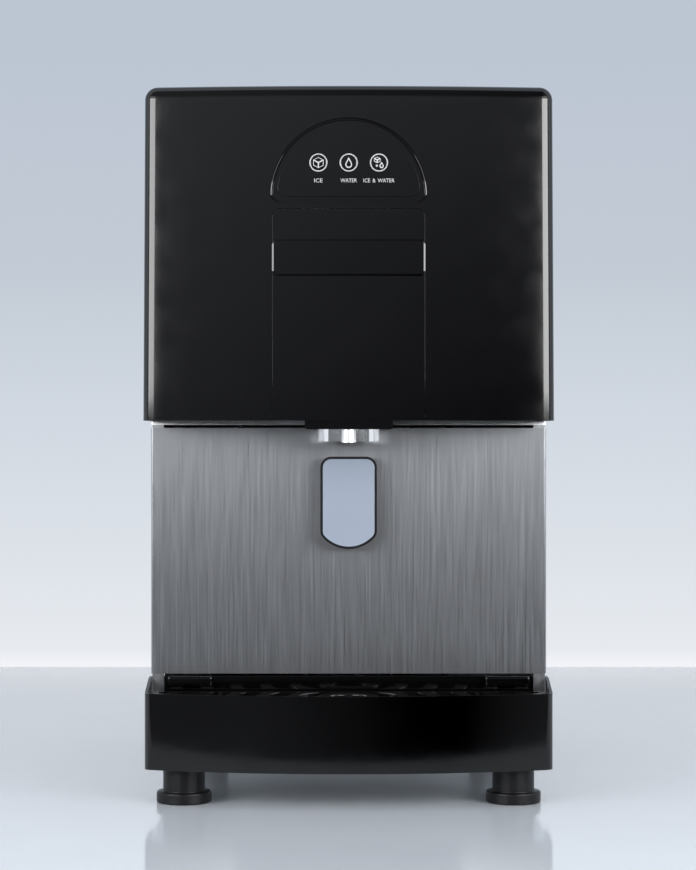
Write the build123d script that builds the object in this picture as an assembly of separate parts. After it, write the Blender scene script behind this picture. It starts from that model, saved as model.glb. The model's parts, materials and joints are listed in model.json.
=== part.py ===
from build123d import *
import math
import os

# Countertop ice and water dispenser. Millimetres, +Z up, the front faces -Y.
# The origin is on the floor, under the middle of the machine.

# Overall depth, from the name plate's face to the water inlet's thread
overall_depth = 590.0

# Fits and cuts that all pieces share
overrun = 4.0
seat_gap = 0.3
seam = 0.4
glue_gap = 0.1
running_gap = 0.05
skin_wall = 3.0

# Heights, from the floor up
foot_height = 36.5
tray_front_height = 77.5
tray_to_splash = 14.7
splash_height = 254.6
rail_gap = 3.1
rail_height = 4.0
hood_height = 336.6

# Cabinet of steel sheet
cabinet_half_width = 203.6
sheet = 1.0
post_width = 12.0
inlet_projection = 15.0
fitting_shoulder = 1.0
pan_sheet = 1.5
pan_lift = 1.5
pan_flange = 16.0
pan_setback = 12.0
top_sheet = 2.0
top_flange = 12.0
top_below_hood = 5.0
louvre_length = 96.0
louvre_height = 4.0
louvre_pitch = 11.0
louvre_rows = 14
louvre_base = 62.0
louvre_front = 118.0
rear_vent_length = 120.0
rear_vent_base = 560.0
rear_vent_rows = 9
rear_vent_pitch = 12.0
post_window_setback = 60.0

# Splash panel and the rail above it
panel_recess = 85.0
wrap_sheet = 1.1
wrap_gap = 0.1
wrap_return = 12.0
wrap_bend = 2.0
slot_half_width = 9.0
slot_base_drop = 25.0
slot_height = 23.0
rail_tab_height = 12.0
rail_tab_inset = 8.0

# Front hood
hood_side_reach = 3.9
hood_draft = 1.9
hood_depth = 145.0
hood_bow_radius = 1700.0
hood_corner = 13.0
hood_top_edge = 13.0
hood_inner_edge = 10.0
hood_clearance = 0.3

# Arched control area, with its buttons and light rings
dome_radius = 79.0
dome_base_radius = 72.0
dome_groove_depth = 1.4
dome_centre_drop = 112.4
dome_base_drop = 5.7
dome_corner = 10.0
fascia_flange = 5.0
fascia_flange_thickness = 1.5
button_pitch = 30.3
button_drop = 78.5
ring_radius = 9.6
ring_width = 1.3
ring_flange = 1.6
ring_flange_thickness = 1.0
button_clearance = 0.2
button_sink = 0.3
button_cap_depth = 5.5
button_stem_radius = 2.0
button_stem_length = 5.5
switch_size = 7.0
switch_depth = 4.0
board_thickness = 1.6
board_half_width = 55.0
board_half_height = 28.0

# Centre panel and the bare name plate
centre_half_width = 76.4
centre_top_drop = 124.5
centre_corner = 8.0
centre_thickness = 1.5
badge_half_width = 76.7
badge_top_drop = 155.3
badge_height = 36.4
badge_corner = 5.0
badge_proud = 1.8

# Chute lip, ice chute and water nozzle
chute_setback = 45.5
chute_radius = 31.4
chute_wall = 1.5
chute_drop = 20.8
chute_flange = 4.5
chute_flange_thickness = 2.0
lip_half_width = 44.2
lip_setback = 2.5
lip_drop = 8.6
lip_rear_gap = 3.5
lip_corner = 3.0
lip_flange = 5.0
lip_flange_thickness = 2.0
nozzle_setback = 11.0
nozzle_radius = 7.1
nozzle_wall = 1.6
nozzle_drop = 22.0
barb_radius = 3.4
barb_bore = 2.2
barb_height = 18.0

# Ice gate between the bin and the chute
gate_duct = 50.0
gate_wall = 3.0
gate_shaft_radius = 3.0
gate_shaft_inset = 4.0
gate_shaft_drop = 6.5
gate_thickness = 3.0
gate_edge_gap = 0.8
actuator_length = 34.0
actuator_width = 30.0
actuator_height = 26.0

# Ice bin with its trough, lid, agitator and motor
deck_lift = 67.4
deck_sheet = 2.0
deck_inset = 1.0
deck_rear_gap = 65.0
bin_side_gap = 42.6
bin_wall = 12.0
bin_height = 240.0
agitator_motor_gap = 8.1
bin_front_gap = 1.0
bin_front_wall = 6.0
bin_shoulder = 95.0
trough_radius = 40.0
bin_outlet_radius = 22.5
lid_thickness = 3.0
lid_rim = 6.0
agitator_shaft_radius = 6.0
agitator_pivot = 4.0
agitator_arm_radius = 3.5
agitator_arm_gap = 4.0
agitator_arms = 5
agitator_motor_half = 32.0
agitator_gearbox_length = 38.0
agitator_can_radius = 27.0
agitator_can_length = 44.0

# Evaporator with its auger and gear motor
evaporator_radius = 44.0
evaporator_bore = 28.0
evaporator_height = 310.0
evaporator_head = 50.0
evaporator_head_height = 12.0
auger_gap = 0.4
auger_shaft_radius = 10.0
auger_flights = 9
auger_flight_thickness = 5.0
drive_shaft_radius = 8.0
drive_shaft_length = 50.0
gearbox_half = 46.0
gearbox_height = 85.0
motor_radius = 38.0
motor_height = 82.0
stand_height = 165.5
stand_sheet = 2.0
stand_half_width = 50.0
stand_half_depth = 58.0
transfer_radius = 30.0
transfer_wall = 4.0
transfer_step = 2.0
transfer_rise = 43.0

# Refrigeration pieces in the base
compressor_side_gap = 10.6
compressor_stand_gap = 2.0
compressor_setback = 79.0
compressor_height = 172.0
compressor_top_fillet = 34.0
compressor_base_fillet = 22.0
compressor_plate_inset = 1.0
compressor_plate_depth = 124.0
compressor_plate = 3.0
grommet_radius = 9.0
grommet_height = 21.0
grommet_inset = 14.0
condenser_inset = 7.0
condenser_thickness = 36.0
condenser_height = 180.0
condenser_front_gap = 60.0
condenser_lift = 12.0
condenser_bracket = 3.0
fin_thickness = 0.8
fin_count = 24
condenser_tube_radius = 4.8
condenser_rows = 6
fan_radius = 78.0
fan_tip_gap = 4.0
fan_hub_radius = 22.0
fan_depth = 20.0
fan_blades = 5
blade_thickness = 2.0
blade_twist = 32.0
fan_shaft_radius = 4.0
fan_shaft_length = 9.0
shroud_sheet = 2.0
shroud_ring = 10.0
fan_stand_off = 4.0
fan_motor_radius = 28.0
fan_motor_length = 40.0
strap_width = 16.0
strap_sheet = 2.5

# Water reservoir with its float, inlet valve and hoses
reservoir_inset = 7.0
reservoir_side_gap = 39.6
reservoir_port_inset = 23.8
reservoir_height = 100.0
reservoir_wall = 3.0
reservoir_rear_gap = 12.0
spigot_radius = 4.0
spigot_bore = 2.6
spigot_length = 10.0
fill_bar = 14.0
fill_bar_thickness = 4.0
float_pin_radius = 2.0
float_ear = 4.0
float_ear_gap = 0.4
float_pivot_drop = 60.0
float_pivot_inset = 10.0
float_wall_gap = 34.0
float_arm_width = 8.0
float_arm_thickness = 3.0
float_size = 34.0
float_height = 22.0
valve_x = 95.0
valve_lift = 261.0
valve_half_width = 38.0
valve_depth = 40.0
valve_height = 46.0
valve_thread_radius = 13.2
valve_bore = 9.0
valve_neck_radius = 12.0
coil_can_radius = 12.0
coil_can_height = 30.0
hose_radius = 4.5
hose_bore = 2.8
hose_bend = 16.0
hose_run = 38.0
nozzle_hose_drop = 20.0
fill_hose_over = 30.0

# Copper lines
copper_radius = 4.0
copper_bore = 3.0
copper_bend = 14.0
suction_lift = 100.0
discharge_rise = 30.0
liquid_run = 46.0
liquid_lift = 70.0

# Push lever
lever_gap = 13.0
lever_half_width = 28.95
lever_top_drop = 29.7
lever_height = 94.7
lever_side_height = 77.5
lever_top_corner = 11.0
lever_blend = 7.0
lever_depth = 6.5
lever_rim = 1.8
pad_thickness = 3.0
pad_proud = 1.5
pad_edge = 1.3
lever_pin_radius = 3.0
lever_pin_drop = 41.3
lever_pin_setback = 15.0
knuckle_radius = 8.0
knuckle_half_width = 7.0
lever_arm_height = 14.0
tail_height = 24.0
tail_thickness = 5.0
bracket_sheet = 1.5
bracket_half_width = 15.0
bracket_below = 22.0
bracket_above = 24.0
ear_depth = 20.0
pin_head = 1.6
pin_head_radius = 4.5
lever_switch_depth = 9.0
lever_switch_height = 15.0
spring_wire = 0.6
spring_radius = 4.8
spring_pitch = 1.9
spring_turns = 3.0

# Drip tray housing, pan and grille
tray_side_overhang = 3.9
tray_bow_radius = 690.0
tray_corner = 11.0
tray_wall = 3.0
tray_side_rise = 10.4
tray_side_reach = 20.0
tray_rear_rise = 12.7
tray_floor_lift = 29.5
tray_boss_radius = 7.0
tray_boss_spacing = 240.0
tray_boss_setback = 40.0
locator_side_gap = 4.6
locator_width = 46.0
locator_height = 10.5
locator_depth = 9.0
locator_edge = 2.6
pan_wall = 2.0
pan_clearance = 2.5
pan_corner = 26.0
drain_radius = 8.0
drain_spigot = 9.0
drain_bore = 6.0
grille_thickness = 4.0
grille_below_rim = 2.3
grille_edge = 7.0
grille_back_edge = 3.5
ring_centre_setback = 28.0
ring_first_radius = 18.0
ring_pitch = 31.5
ring_bar = 13.3
grille_rib = 4.0
grille_rib_drop = 1.6
grille_ribs = 9
grille_rib_spacing = 44.0
grille_bar_edge = 1.2
drain_pipe_radius = 6.2
drain_outlet_radius = 7.0
drain_pipe_bore = 5.0
drain_pipe_lift = 13.0
cup_drop = 1.0

# Feet
foot_side_inset = 34.8
foot_front_setback = 60.0
foot_rear_setback = 60.0
foot_flange_radius = 28.2
foot_flange_height = 11.5
foot_flange_edge = 1.5
foot_stem_radius = 21.5
foot_stud_radius = 5.0
foot_stud_length = 18.0
insert_radius = 9.0
insert_height = 14.0

# Electrical pieces
inlet_side_inset = 52.6
inlet_z = 110.0
inlet_width = 48.0
inlet_height = 30.0
inlet_depth = 24.0
inlet_rim = 4.0
inlet_rim_thickness = 1.5
socket_depth = 16.0
socket_width = 24.0
socket_height = 16.0
pin_width = 2.0
pin_height = 5.0
supply_width = 90.0
supply_length = 120.0
supply_height = 105.0
supply_side_gap = 7.6
supply_front_gap = 36.0
supply_edge = 4.0

# Screws
screw_head_radius = 4.2
screw_head_height = 2.2
screw_shank_radius = 1.9
screw_shank_length = 7.0
screw_inset = 7.0
screw_hole_gap = 0.1
rear_screw_rows = 4

# Shares: slot ends, sheet edges, the bin's slope, the auger's core and small corners
end_share = 0.45
edge_share = 0.4
slope_share = 0.35
core_share = 0.7
corner_share = 0.25
evaporator_share = 0.661
condenser_share = 0.4927
float_share = 0.1786

# Main planes, worked out from the sizes above
front_y = -overall_depth / 2
rear_y = overall_depth / 2
hood_front_y = front_y + badge_proud
panel_y = hood_front_y + panel_recess
cabinet_front_y = panel_y + wrap_sheet
cabinet_rear_y = rear_y - inlet_projection
base_z = foot_height
rim_z = base_z + tray_front_height
splash_base_z = rim_z + tray_to_splash
splash_top_z = splash_base_z + splash_height
rail_base_z = splash_top_z + rail_gap
hood_base_z = rail_base_z + rail_height
hood_top_z = hood_base_z + hood_height
hood_rear_y = hood_front_y + hood_depth
pan_z = base_z + pan_lift
pan_top_z = pan_z + pan_sheet
cabinet_top_z = hood_top_z - top_below_hood
side_top_z = cabinet_top_z - top_sheet
inner_half_width = cabinet_half_width - sheet
hood_half_width = cabinet_half_width + hood_side_reach
hood_top_half_width = hood_half_width - hood_draft
tray_half_width = cabinet_half_width + tray_side_overhang
foot_x = cabinet_half_width - foot_side_inset
bin_half_width = inner_half_width - bin_side_gap
inlet_x = inlet_side_inset - inner_half_width
supply_x = inner_half_width - supply_side_gap - supply_width / 2
compressor_left = stand_half_width + compressor_stand_gap
compressor_right = inner_half_width - compressor_side_gap
compressor_x = (compressor_left + compressor_right) / 2
compressor_radius = (compressor_right - compressor_left) / 2
compressor_plate_width = 2 * (compressor_radius - compressor_plate_inset)
condenser_length = (cabinet_rear_y - cabinet_front_y) * condenser_share
reservoir_width = inner_half_width - reservoir_inset - evaporator_radius - reservoir_side_gap
deck_z = hood_base_z + deck_lift
deck_top_z = deck_z + deck_sheet
chute_y = hood_front_y + chute_setback
nozzle_y = hood_front_y + nozzle_setback
switch_y = hood_front_y + button_sink + button_cap_depth + button_stem_length - switch_depth / 2
board_y = switch_y + switch_depth
bin_front_y = board_y + board_thickness + bin_front_gap
bin_inner_y = bin_front_y + bin_front_wall
trough_z = deck_top_z + bin_wall + trough_radius
bin_top_z = deck_top_z + bin_height
evaporator_y = hood_front_y + overall_depth * evaporator_share
agitator_motor_length = agitator_gearbox_length + agitator_can_length
bin_rear_y = evaporator_y - evaporator_head - agitator_motor_gap - agitator_motor_length
bin_length = bin_rear_y - bin_wall - bin_inner_y
gearbox_z = pan_top_z + stand_height
evaporator_z = gearbox_z + gearbox_height
evaporator_top_z = evaporator_z + evaporator_height
head_top_z = evaporator_top_z + evaporator_head_height
transfer_z = head_top_z + transfer_rise
rear_sheet_y = cabinet_rear_y - sheet
lip_flange_z = hood_base_z + skin_wall
chute_flange_z = lip_flange_z + lip_flange_thickness
gate_base_z = chute_flange_z + chute_flange_thickness
tray_floor_z = base_z + tray_floor_lift
tray_rear_y = panel_y - glue_gap
grille_top_z = rim_z - grille_below_rim
grille_z = grille_top_z - grille_thickness
pan_floor_z = tray_floor_z + glue_gap
post_inner_x = cabinet_half_width - post_width
locator_outer = post_inner_x - locator_side_gap
locator_inner = locator_outer - locator_width
splash_half_width = cabinet_half_width + wrap_gap + wrap_sheet
reservoir_rear_y = cabinet_rear_y - deck_rear_gap - reservoir_rear_gap
reservoir_length = reservoir_rear_y - evaporator_y + reservoir_port_inset
float_reach = reservoir_length - 2 * reservoir_wall - float_pivot_inset
float_arm_length = float_reach - float_size - float_wall_gap
fitting_y = cabinet_rear_y + fitting_shoulder
pan_rear_y = tray_rear_y - tray_wall - locator_depth - pan_clearance


def block(x0, x1, y0, y1, z0, z1):
    """Box between three pairs of limits."""
    return Pos((x0 + x1) / 2, (y0 + y1) / 2, (z0 + z1) / 2) * Box(x1 - x0, y1 - y0, z1 - z0)


def rod_x(radius, x0, x1, y, z):
    """Round rod along X."""
    return Pos((x0 + x1) / 2, y, z) * Rot(0, 90, 0) * Cylinder(radius, x1 - x0)


def rod_y(radius, x, y0, y1, z):
    """Round rod along Y."""
    return Pos(x, (y0 + y1) / 2, z) * Rot(90, 0, 0) * Cylinder(radius, y1 - y0)


def rod_z(radius, x, y, z0, z1):
    """Round rod along Z."""
    return Pos(x, y, (z0 + z1) / 2) * Cylinder(radius, z1 - z0)


def front_prism(sketch, y0, y1):
    """Solid between two Y planes from an outline drawn in X and Z."""
    return extrude(Pos(0, y1, 0) * Rot(90, 0, 0) * sketch, amount=y1 - y0)


def tube(points, bend, outer, bore):
    """Pipe with a bore along straight runs and tangent bends."""
    path = FilletPolyline(*points, radius=bend)
    start = Plane(origin=path @ 0, z_dir=path % 0)
    return sweep(start * (Circle(outer) - Circle(bore)), path=path)


def save(name, shape):
    """Write one piece to its own STEP file."""
    export_step(shape, "parts/" + name + ".step")


def bowed_outline(half_width, front, rear, bow_radius, corner):
    """Plan outline with a bowed front edge between two rounded corners."""
    corner_y = front + bow_radius - math.sqrt(bow_radius**2 - half_width**2)
    bow = ThreePointArc((-half_width, corner_y), (0, front), (half_width, corner_y))
    sides = Polyline(
        (half_width, corner_y), (half_width, rear), (-half_width, rear), (-half_width, corner_y)
    )
    outline = make_face([bow, *sides.edges()])
    return fillet(outline.vertices().sort_by(Axis.Y)[:2], corner)


def tray_outline(inset, rear):
    """Plan outline of the tray's wall, moved inwards."""
    return bowed_outline(
        tray_half_width - inset,
        hood_front_y + inset,
        rear,
        tray_bow_radius - inset,
        max(tray_corner - inset, tray_corner * corner_share),
    )


def hood_half_width_at(z):
    """Half width of the hood's outside at a height."""
    rise = (z - hood_base_z) / (hood_top_z - hood_base_z)
    return hood_half_width + (hood_top_half_width - hood_half_width) * rise


def hood_body(inset, z0, z1, rear, edge):
    """Solid inside the hood's skin, moved inwards, with its top edge rounded."""
    levels = []
    for z in (z0, z1):
        outline = bowed_outline(
            hood_half_width_at(z) - inset,
            hood_front_y + inset,
            rear,
            hood_bow_radius - inset,
            hood_corner - inset,
        )
        levels.append(Pos(0, 0, z) * outline)
    body = loft(levels, ruled=True)
    top = body.edges().group_by(Axis.Z)[-1].sort_by(Axis.Y)[:-1]
    return fillet(top, edge)


def hood_layer(sketch, near, far):
    """Part of the hood's front skin, between two depths, inside an outline in X and Z."""
    bounds = sketch.bounding_box()
    low = bounds.min.Y - overrun
    high = bounds.max.Y + overrun
    axis_y = hood_front_y + hood_bow_radius
    outer = rod_z(hood_bow_radius - near, 0, axis_y, low, high)
    inner = rod_z(hood_bow_radius - far, 0, axis_y, low, high)
    reach = block(
        bounds.min.X - overrun, bounds.max.X + overrun,
        hood_front_y - badge_proud - overrun, panel_y, low, high,
    )
    prism = front_prism(sketch, hood_front_y - badge_proud - overrun, panel_y)
    return ((outer & reach) - inner) & prism


def skin_y(x):
    """Front of the hood at an offset from the middle."""
    return hood_front_y + hood_bow_radius - math.sqrt(hood_bow_radius**2 - x**2)


def dome_outline(radius, base_drop):
    """Arch over a flat base with rounded lower corners, in X and Z."""
    centre_z = hood_top_z - dome_centre_drop
    arch = Pos(0, centre_z) * Circle(radius)
    keep = Pos(0, centre_z - base_drop + radius) * Rectangle(2 * radius + overrun, 2 * radius)
    outline = arch & keep
    return fillet(outline.vertices().sort_by(Axis.Y)[:2], dome_corner)


def rounded_rectangle(half_width, base_z_value, top_z_value, corner):
    """Rectangle with four rounded corners, in X and Z."""
    height = top_z_value - base_z_value
    middle = (top_z_value + base_z_value) / 2
    return Pos(0, middle) * RectangleRounded(2 * half_width, height, corner)


def centre_outline(extra):
    """Outline of the centre panel, rounded at its top corners only."""
    top = hood_top_z - centre_top_drop + extra
    half = centre_half_width + extra
    outline = Pos(0, (top + hood_base_z) / 2) * Rectangle(2 * half, top - hood_base_z)
    return fillet(outline.vertices().sort_by(Axis.Y)[-2:], centre_corner + extra)


def button_centres():
    """Centres of the three buttons, in X and Z."""
    z = hood_top_z - button_drop
    return [(-button_pitch, z), (0, z), (button_pitch, z)]


def foot_centres():
    """Centres of the four feet, with the name that each foot takes."""
    front = hood_front_y + foot_front_setback
    rear = cabinet_rear_y - foot_rear_setback
    return {
        "front_left": (-foot_x, front),
        "front_right": (foot_x, front),
        "rear_left": (-foot_x, rear),
        "rear_right": (foot_x, rear),
    }


def rear_screw_places():
    """Places of the rear panel's screws, in X and Z."""
    low = pan_top_z + pan_flange + screw_inset
    high = side_top_z - top_flange - screw_inset
    step = (high - low) / (rear_screw_rows - 1)
    x = inner_half_width - screw_inset
    return [(side * x, low + row * step) for side in (-1, 1) for row in range(rear_screw_rows)]


def tray_screw_places():
    """Places of the screws that hold the tray housing down, in X and Y."""
    y = hood_front_y + tray_boss_setback
    return [(side * tray_boss_spacing / 2, y) for side in (-1, 1)]


def make_base_pan():
    """Steel pan with turned-up sides, and the threaded inserts that the feet screw into."""
    half = inner_half_width - glue_gap
    front = hood_front_y + tray_bow_radius - math.sqrt(tray_bow_radius**2 - half**2) + pan_setback
    rear = rear_sheet_y - sheet - glue_gap
    pan = block(-half, half, front, rear, pan_z, pan_top_z)
    side = block(half - pan_sheet, half, cabinet_front_y + sheet + glue_gap, rear,
                 pan_top_z, pan_top_z + pan_flange)
    pan += side + mirror(side, about=Plane.YZ)
    pan += block(-half, half, rear - pan_sheet, rear, pan_top_z, pan_top_z + pan_flange)
    pan -= rod_y(drain_outlet_radius + seat_gap, 0, rear - overrun, rear + overrun,
                 pan_top_z + drain_pipe_lift)
    for x, y in foot_centres().values():
        pan += rod_z(insert_radius, x, y, pan_top_z, pan_top_z + insert_height)
        pan -= rod_z(foot_stud_radius + running_gap, x, y,
                     pan_z - overrun, pan_top_z + insert_height + overrun)
    for x, y in tray_screw_places():
        pan -= rod_z(screw_shank_radius + screw_hole_gap, x, y, pan_z - overrun, pan_top_z + overrun)
    return pan


def make_side_panel():
    """Right side panel with its front post, its rear flange and its louvre slots."""
    rear = rear_sheet_y
    panel = block(inner_half_width, cabinet_half_width, cabinet_front_y, rear, pan_z, side_top_z)
    panel += block(post_inner_x, inner_half_width, cabinet_front_y, cabinet_front_y + sheet,
                   pan_top_z, splash_top_z + rail_tab_height)
    flange = 2 * screw_inset
    panel += block(inner_half_width - flange, inner_half_width, rear - sheet, rear,
                   pan_top_z + pan_flange, side_top_z - top_flange)
    for row in range(louvre_rows):
        z = pan_z + louvre_base + row * louvre_pitch
        y = cabinet_front_y + louvre_front
        slot = block(inner_half_width - overrun, cabinet_half_width + overrun,
                     y - louvre_length / 2, y + louvre_length / 2, z, z + louvre_height)
        slot = fillet(slot.edges().filter_by(Axis.X), louvre_height * end_share)
        panel -= slot
    hole = screw_shank_radius + screw_hole_gap
    for x, z in rear_screw_places():
        if x > 0:
            panel -= rod_y(hole, x, rear - overrun, rear + overrun, z)
    return panel


def make_rear_panel():
    """Rear sheet with vents and the openings for the water, drain and power fittings."""
    half = inner_half_width
    panel = block(-half, half, rear_sheet_y, cabinet_rear_y, pan_z, side_top_z)
    y0 = rear_sheet_y - overrun
    y1 = cabinet_rear_y + overrun
    for row in range(rear_vent_rows):
        z = rear_vent_base + row * rear_vent_pitch
        slot = block(-rear_vent_length / 2, rear_vent_length / 2, y0, y1, z, z + louvre_height)
        panel -= fillet(slot.edges().filter_by(Axis.Y), louvre_height * end_share)
    valve_z = pan_top_z + valve_lift
    panel -= rod_y(valve_thread_radius + seat_gap, valve_x, y0, y1, valve_z)
    panel -= rod_y(drain_outlet_radius + seat_gap, 0, y0, y1, pan_top_z + drain_pipe_lift)
    panel -= block(inlet_x - inlet_width / 2 - seat_gap, inlet_x + inlet_width / 2 + seat_gap,
                   y0, y1, inlet_z - inlet_height / 2 - seat_gap, inlet_z + inlet_height / 2 + seat_gap)
    for x, z in rear_screw_places():
        panel -= rod_y(screw_shank_radius + screw_hole_gap, x, y0, y1, z)
    return panel


def make_top_cover():
    """Flat top with turned-down edges inside the side panels."""
    half = cabinet_half_width
    cover = block(-half, half, cabinet_front_y, cabinet_rear_y, side_top_z, cabinet_top_z)
    inner = inner_half_width - glue_gap
    edge = block(inner - top_sheet, inner, cabinet_front_y, rear_sheet_y - sheet - glue_gap,
                 side_top_z - top_flange, side_top_z)
    cover += edge + mirror(edge, about=Plane.YZ)
    top_edges = cover.edges().group_by(Axis.Z)[-1].sort_by(Axis.Y)[1:]
    return fillet(top_edges, top_sheet * edge_share)


def wrap_channel(z0, z1):
    """Stainless strip across the front that folds back round both sides of the cabinet."""
    half = splash_half_width
    outer = block(-half, half, panel_y, panel_y + wrap_return, z0, z1)
    front_edges = outer.edges().filter_by(Axis.Z).sort_by(Axis.Y)[:2]
    outer = fillet(front_edges, wrap_bend)
    inner = block(-half + wrap_sheet, half - wrap_sheet, cabinet_front_y,
                  panel_y + wrap_return + overrun, z0 - overrun, z1 + overrun)
    return outer - inner


def make_splash_panel():
    """Brushed panel behind the cup space, with the slot for the lever's arm."""
    panel = wrap_channel(splash_base_z, splash_top_z)
    base = splash_top_z - lever_pin_drop - slot_base_drop / 2
    slot = block(-slot_half_width, slot_half_width, panel_y - overrun,
                 cabinet_front_y + overrun, base, base + slot_height)
    return panel - slot


def make_splash_rail():
    """Narrow rail over the splash panel, with a tab that the hood hides."""
    rail = wrap_channel(rail_base_z, hood_base_z - glue_gap)
    half = cabinet_half_width - rail_tab_inset
    rail += block(-half, half, panel_y, cabinet_front_y, rail_base_z, rail_base_z + rail_tab_height)
    return rail


def make_front_hood():
    """Black shell over the front, open at its rear, with its openings."""
    hood = hood_body(0, hood_base_z, hood_top_z, hood_rear_y, hood_top_edge)
    hood -= hood_body(skin_wall, lip_flange_z, hood_top_z - skin_wall,
                      hood_rear_y + overrun, hood_inner_edge)
    envelope = cabinet_half_width + hood_clearance
    hood -= block(-envelope, envelope, panel_y - hood_clearance, hood_rear_y + overrun,
                  hood_base_z - overrun, hood_top_z - skin_wall)
    hood -= hood_layer(dome_outline(dome_radius, dome_base_drop), -overrun, skin_wall + overrun)
    hood -= hood_layer(centre_outline(seam), -overrun, centre_thickness + glue_gap)
    half = lip_half_width + hood_clearance
    hood -= block(-half, half, hood_front_y + lip_setback - hood_clearance,
                  panel_y - lip_rear_gap + hood_clearance, hood_base_z - overrun,
                  lip_flange_z + glue_gap)
    return hood


def make_control_fascia():
    """Arched plate with a sunk border, held by a flange behind the hood's skin."""
    plate = hood_layer(dome_outline(dome_base_radius, 0), 0, skin_wall)
    plate += hood_layer(dome_outline(dome_radius - seam, dome_base_drop - seam),
                        dome_groove_depth, skin_wall + glue_gap)
    flange_outline = dome_outline(dome_radius + fascia_flange, dome_base_drop + fascia_flange)
    back = skin_wall + glue_gap + fascia_flange_thickness
    plate += hood_layer(flange_outline, skin_wall + glue_gap, back)
    for x, z in button_centres():
        plate -= rod_y(ring_radius + glue_gap, x, hood_front_y - overrun, panel_y, z)
    return plate


def make_light_rings():
    """Three white light guides, one round each button."""
    rings = []
    back = skin_wall + glue_gap + fascia_flange_thickness
    for x, z in button_centres():
        y = skin_y(x)
        rear = skin_y(abs(x) + ring_radius + ring_flange) + back + glue_gap
        ring = rod_y(ring_radius, x, y, rear, z)
        ring += rod_y(ring_radius + ring_flange, x, rear, rear + ring_flange_thickness, z)
        ring -= rod_y(ring_radius - ring_width, x, y - overrun, rear + overrun, z)
        rings.append(ring)
    return Compound(children=rings)


def make_button(x, z):
    """Round key cap with a stem that reaches into its switch."""
    y = skin_y(x) + button_sink
    cap_radius = ring_radius - ring_width - button_clearance
    cap = rod_y(cap_radius, x, y, y + button_cap_depth, z)
    cap = fillet(cap.edges().group_by(Axis.Y)[0], button_sink)
    end = y + button_cap_depth + button_stem_length
    return cap + rod_y(button_stem_radius, x, y + button_cap_depth, end, z)


def make_control_board():
    """Circuit board with three key switches and the posts that carry it on the fascia."""
    front = board_y
    z = hood_top_z - button_drop
    board = block(-board_half_width, board_half_width, front, front + board_thickness,
                  z - board_half_height, z + board_half_height)
    half = switch_size / 2
    for x, key_z in button_centres():
        board += block(x - half, x + half, switch_y, front, key_z - half, key_z + half)
        board -= rod_y(button_stem_radius + running_gap, x, switch_y - overrun,
                       front - seat_gap, key_z)
    back = skin_wall + glue_gap + fascia_flange_thickness
    for x in (-board_half_width + half, board_half_width - half):
        for post_z in (z - board_half_height + half, z + board_half_height - half):
            start = skin_y(board_half_width) + back + glue_gap
            board += rod_y(half / 2, x, start, front, post_z)
    return board


def make_centre_panel():
    """Flush panel under the control area."""
    return hood_layer(centre_outline(0), 0, centre_thickness)


def make_badge_plate():
    """Bare name plate, proud of the centre panel."""
    top = hood_top_z - badge_top_drop
    outline = rounded_rectangle(badge_half_width, top - badge_height, top, badge_corner)
    plate = hood_layer(outline, -badge_proud, -glue_gap)
    return plate


def chute_cut(extra, z0, z1):
    """Round space for the chute, with room beside it for the nozzle."""
    cut = rod_z(chute_radius + extra, 0, chute_y, z0, z1)
    return cut + rod_z(nozzle_radius + extra, 0, nozzle_y, z0, z1)


def make_chute_lip():
    """Black frame under the hood that the chute and the nozzle come out of."""
    front = hood_front_y + lip_setback
    rear = panel_y - lip_rear_gap
    lip = block(-lip_half_width, lip_half_width, front, rear, hood_base_z - lip_drop, lip_flange_z)
    lip = fillet(lip.edges().filter_by(Axis.Y).group_by(Axis.Z)[0], lip_corner)
    half = lip_half_width + lip_flange
    lip += block(-half, half, front + lip_flange, rear, lip_flange_z + glue_gap, chute_flange_z)
    lip += block(-lip_half_width, lip_half_width, front + lip_flange, rear,
                 lip_flange_z, chute_flange_z)
    lip -= chute_cut(glue_gap, hood_base_z - lip_drop - overrun, chute_flange_z + overrun)
    return lip


def make_ice_chute():
    """Polished tube with a flange on the lip and a hollow for the nozzle in its front."""
    base = hood_base_z - chute_drop
    top = gate_base_z - glue_gap
    chute = rod_z(chute_radius, 0, chute_y, base, top)
    chute += rod_z(chute_radius + chute_flange, 0, chute_y, chute_flange_z, top)
    bore = chute_radius - chute_wall
    chute -= rod_z(bore, 0, chute_y, base - overrun, top + overrun)
    notch = rod_z(nozzle_radius + seat_gap + chute_wall, 0, nozzle_y, base, top)
    guard = notch & rod_z(chute_radius, 0, chute_y, base, top)
    chute += guard
    chute -= rod_z(nozzle_radius + seat_gap, 0, nozzle_y, base - overrun, top + overrun)
    front = block(-chute_radius, chute_radius, hood_front_y, nozzle_y,
                  chute_flange_z - overrun, top + overrun)
    return chute - front


def make_water_nozzle():
    """Small polished tube in front of the chute, with a barb for its hose."""
    base = hood_base_z - nozzle_drop
    shoulder = lip_flange_z - glue_gap
    nozzle = rod_z(nozzle_radius - glue_gap, 0, nozzle_y, base, shoulder)
    nozzle -= rod_z(nozzle_radius - nozzle_wall, 0, nozzle_y, base - overrun, shoulder - nozzle_wall)
    nozzle += rod_z(barb_radius, 0, nozzle_y, shoulder, shoulder + barb_height)
    nozzle -= rod_z(barb_bore, 0, nozzle_y, base, shoulder + barb_height + overrun)
    return nozzle


def gate_hinge():
    """Y and Z of the ice gate's shaft."""
    y = chute_y + gate_duct / 2 - gate_shaft_inset
    return y, deck_z - gate_shaft_drop


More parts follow.
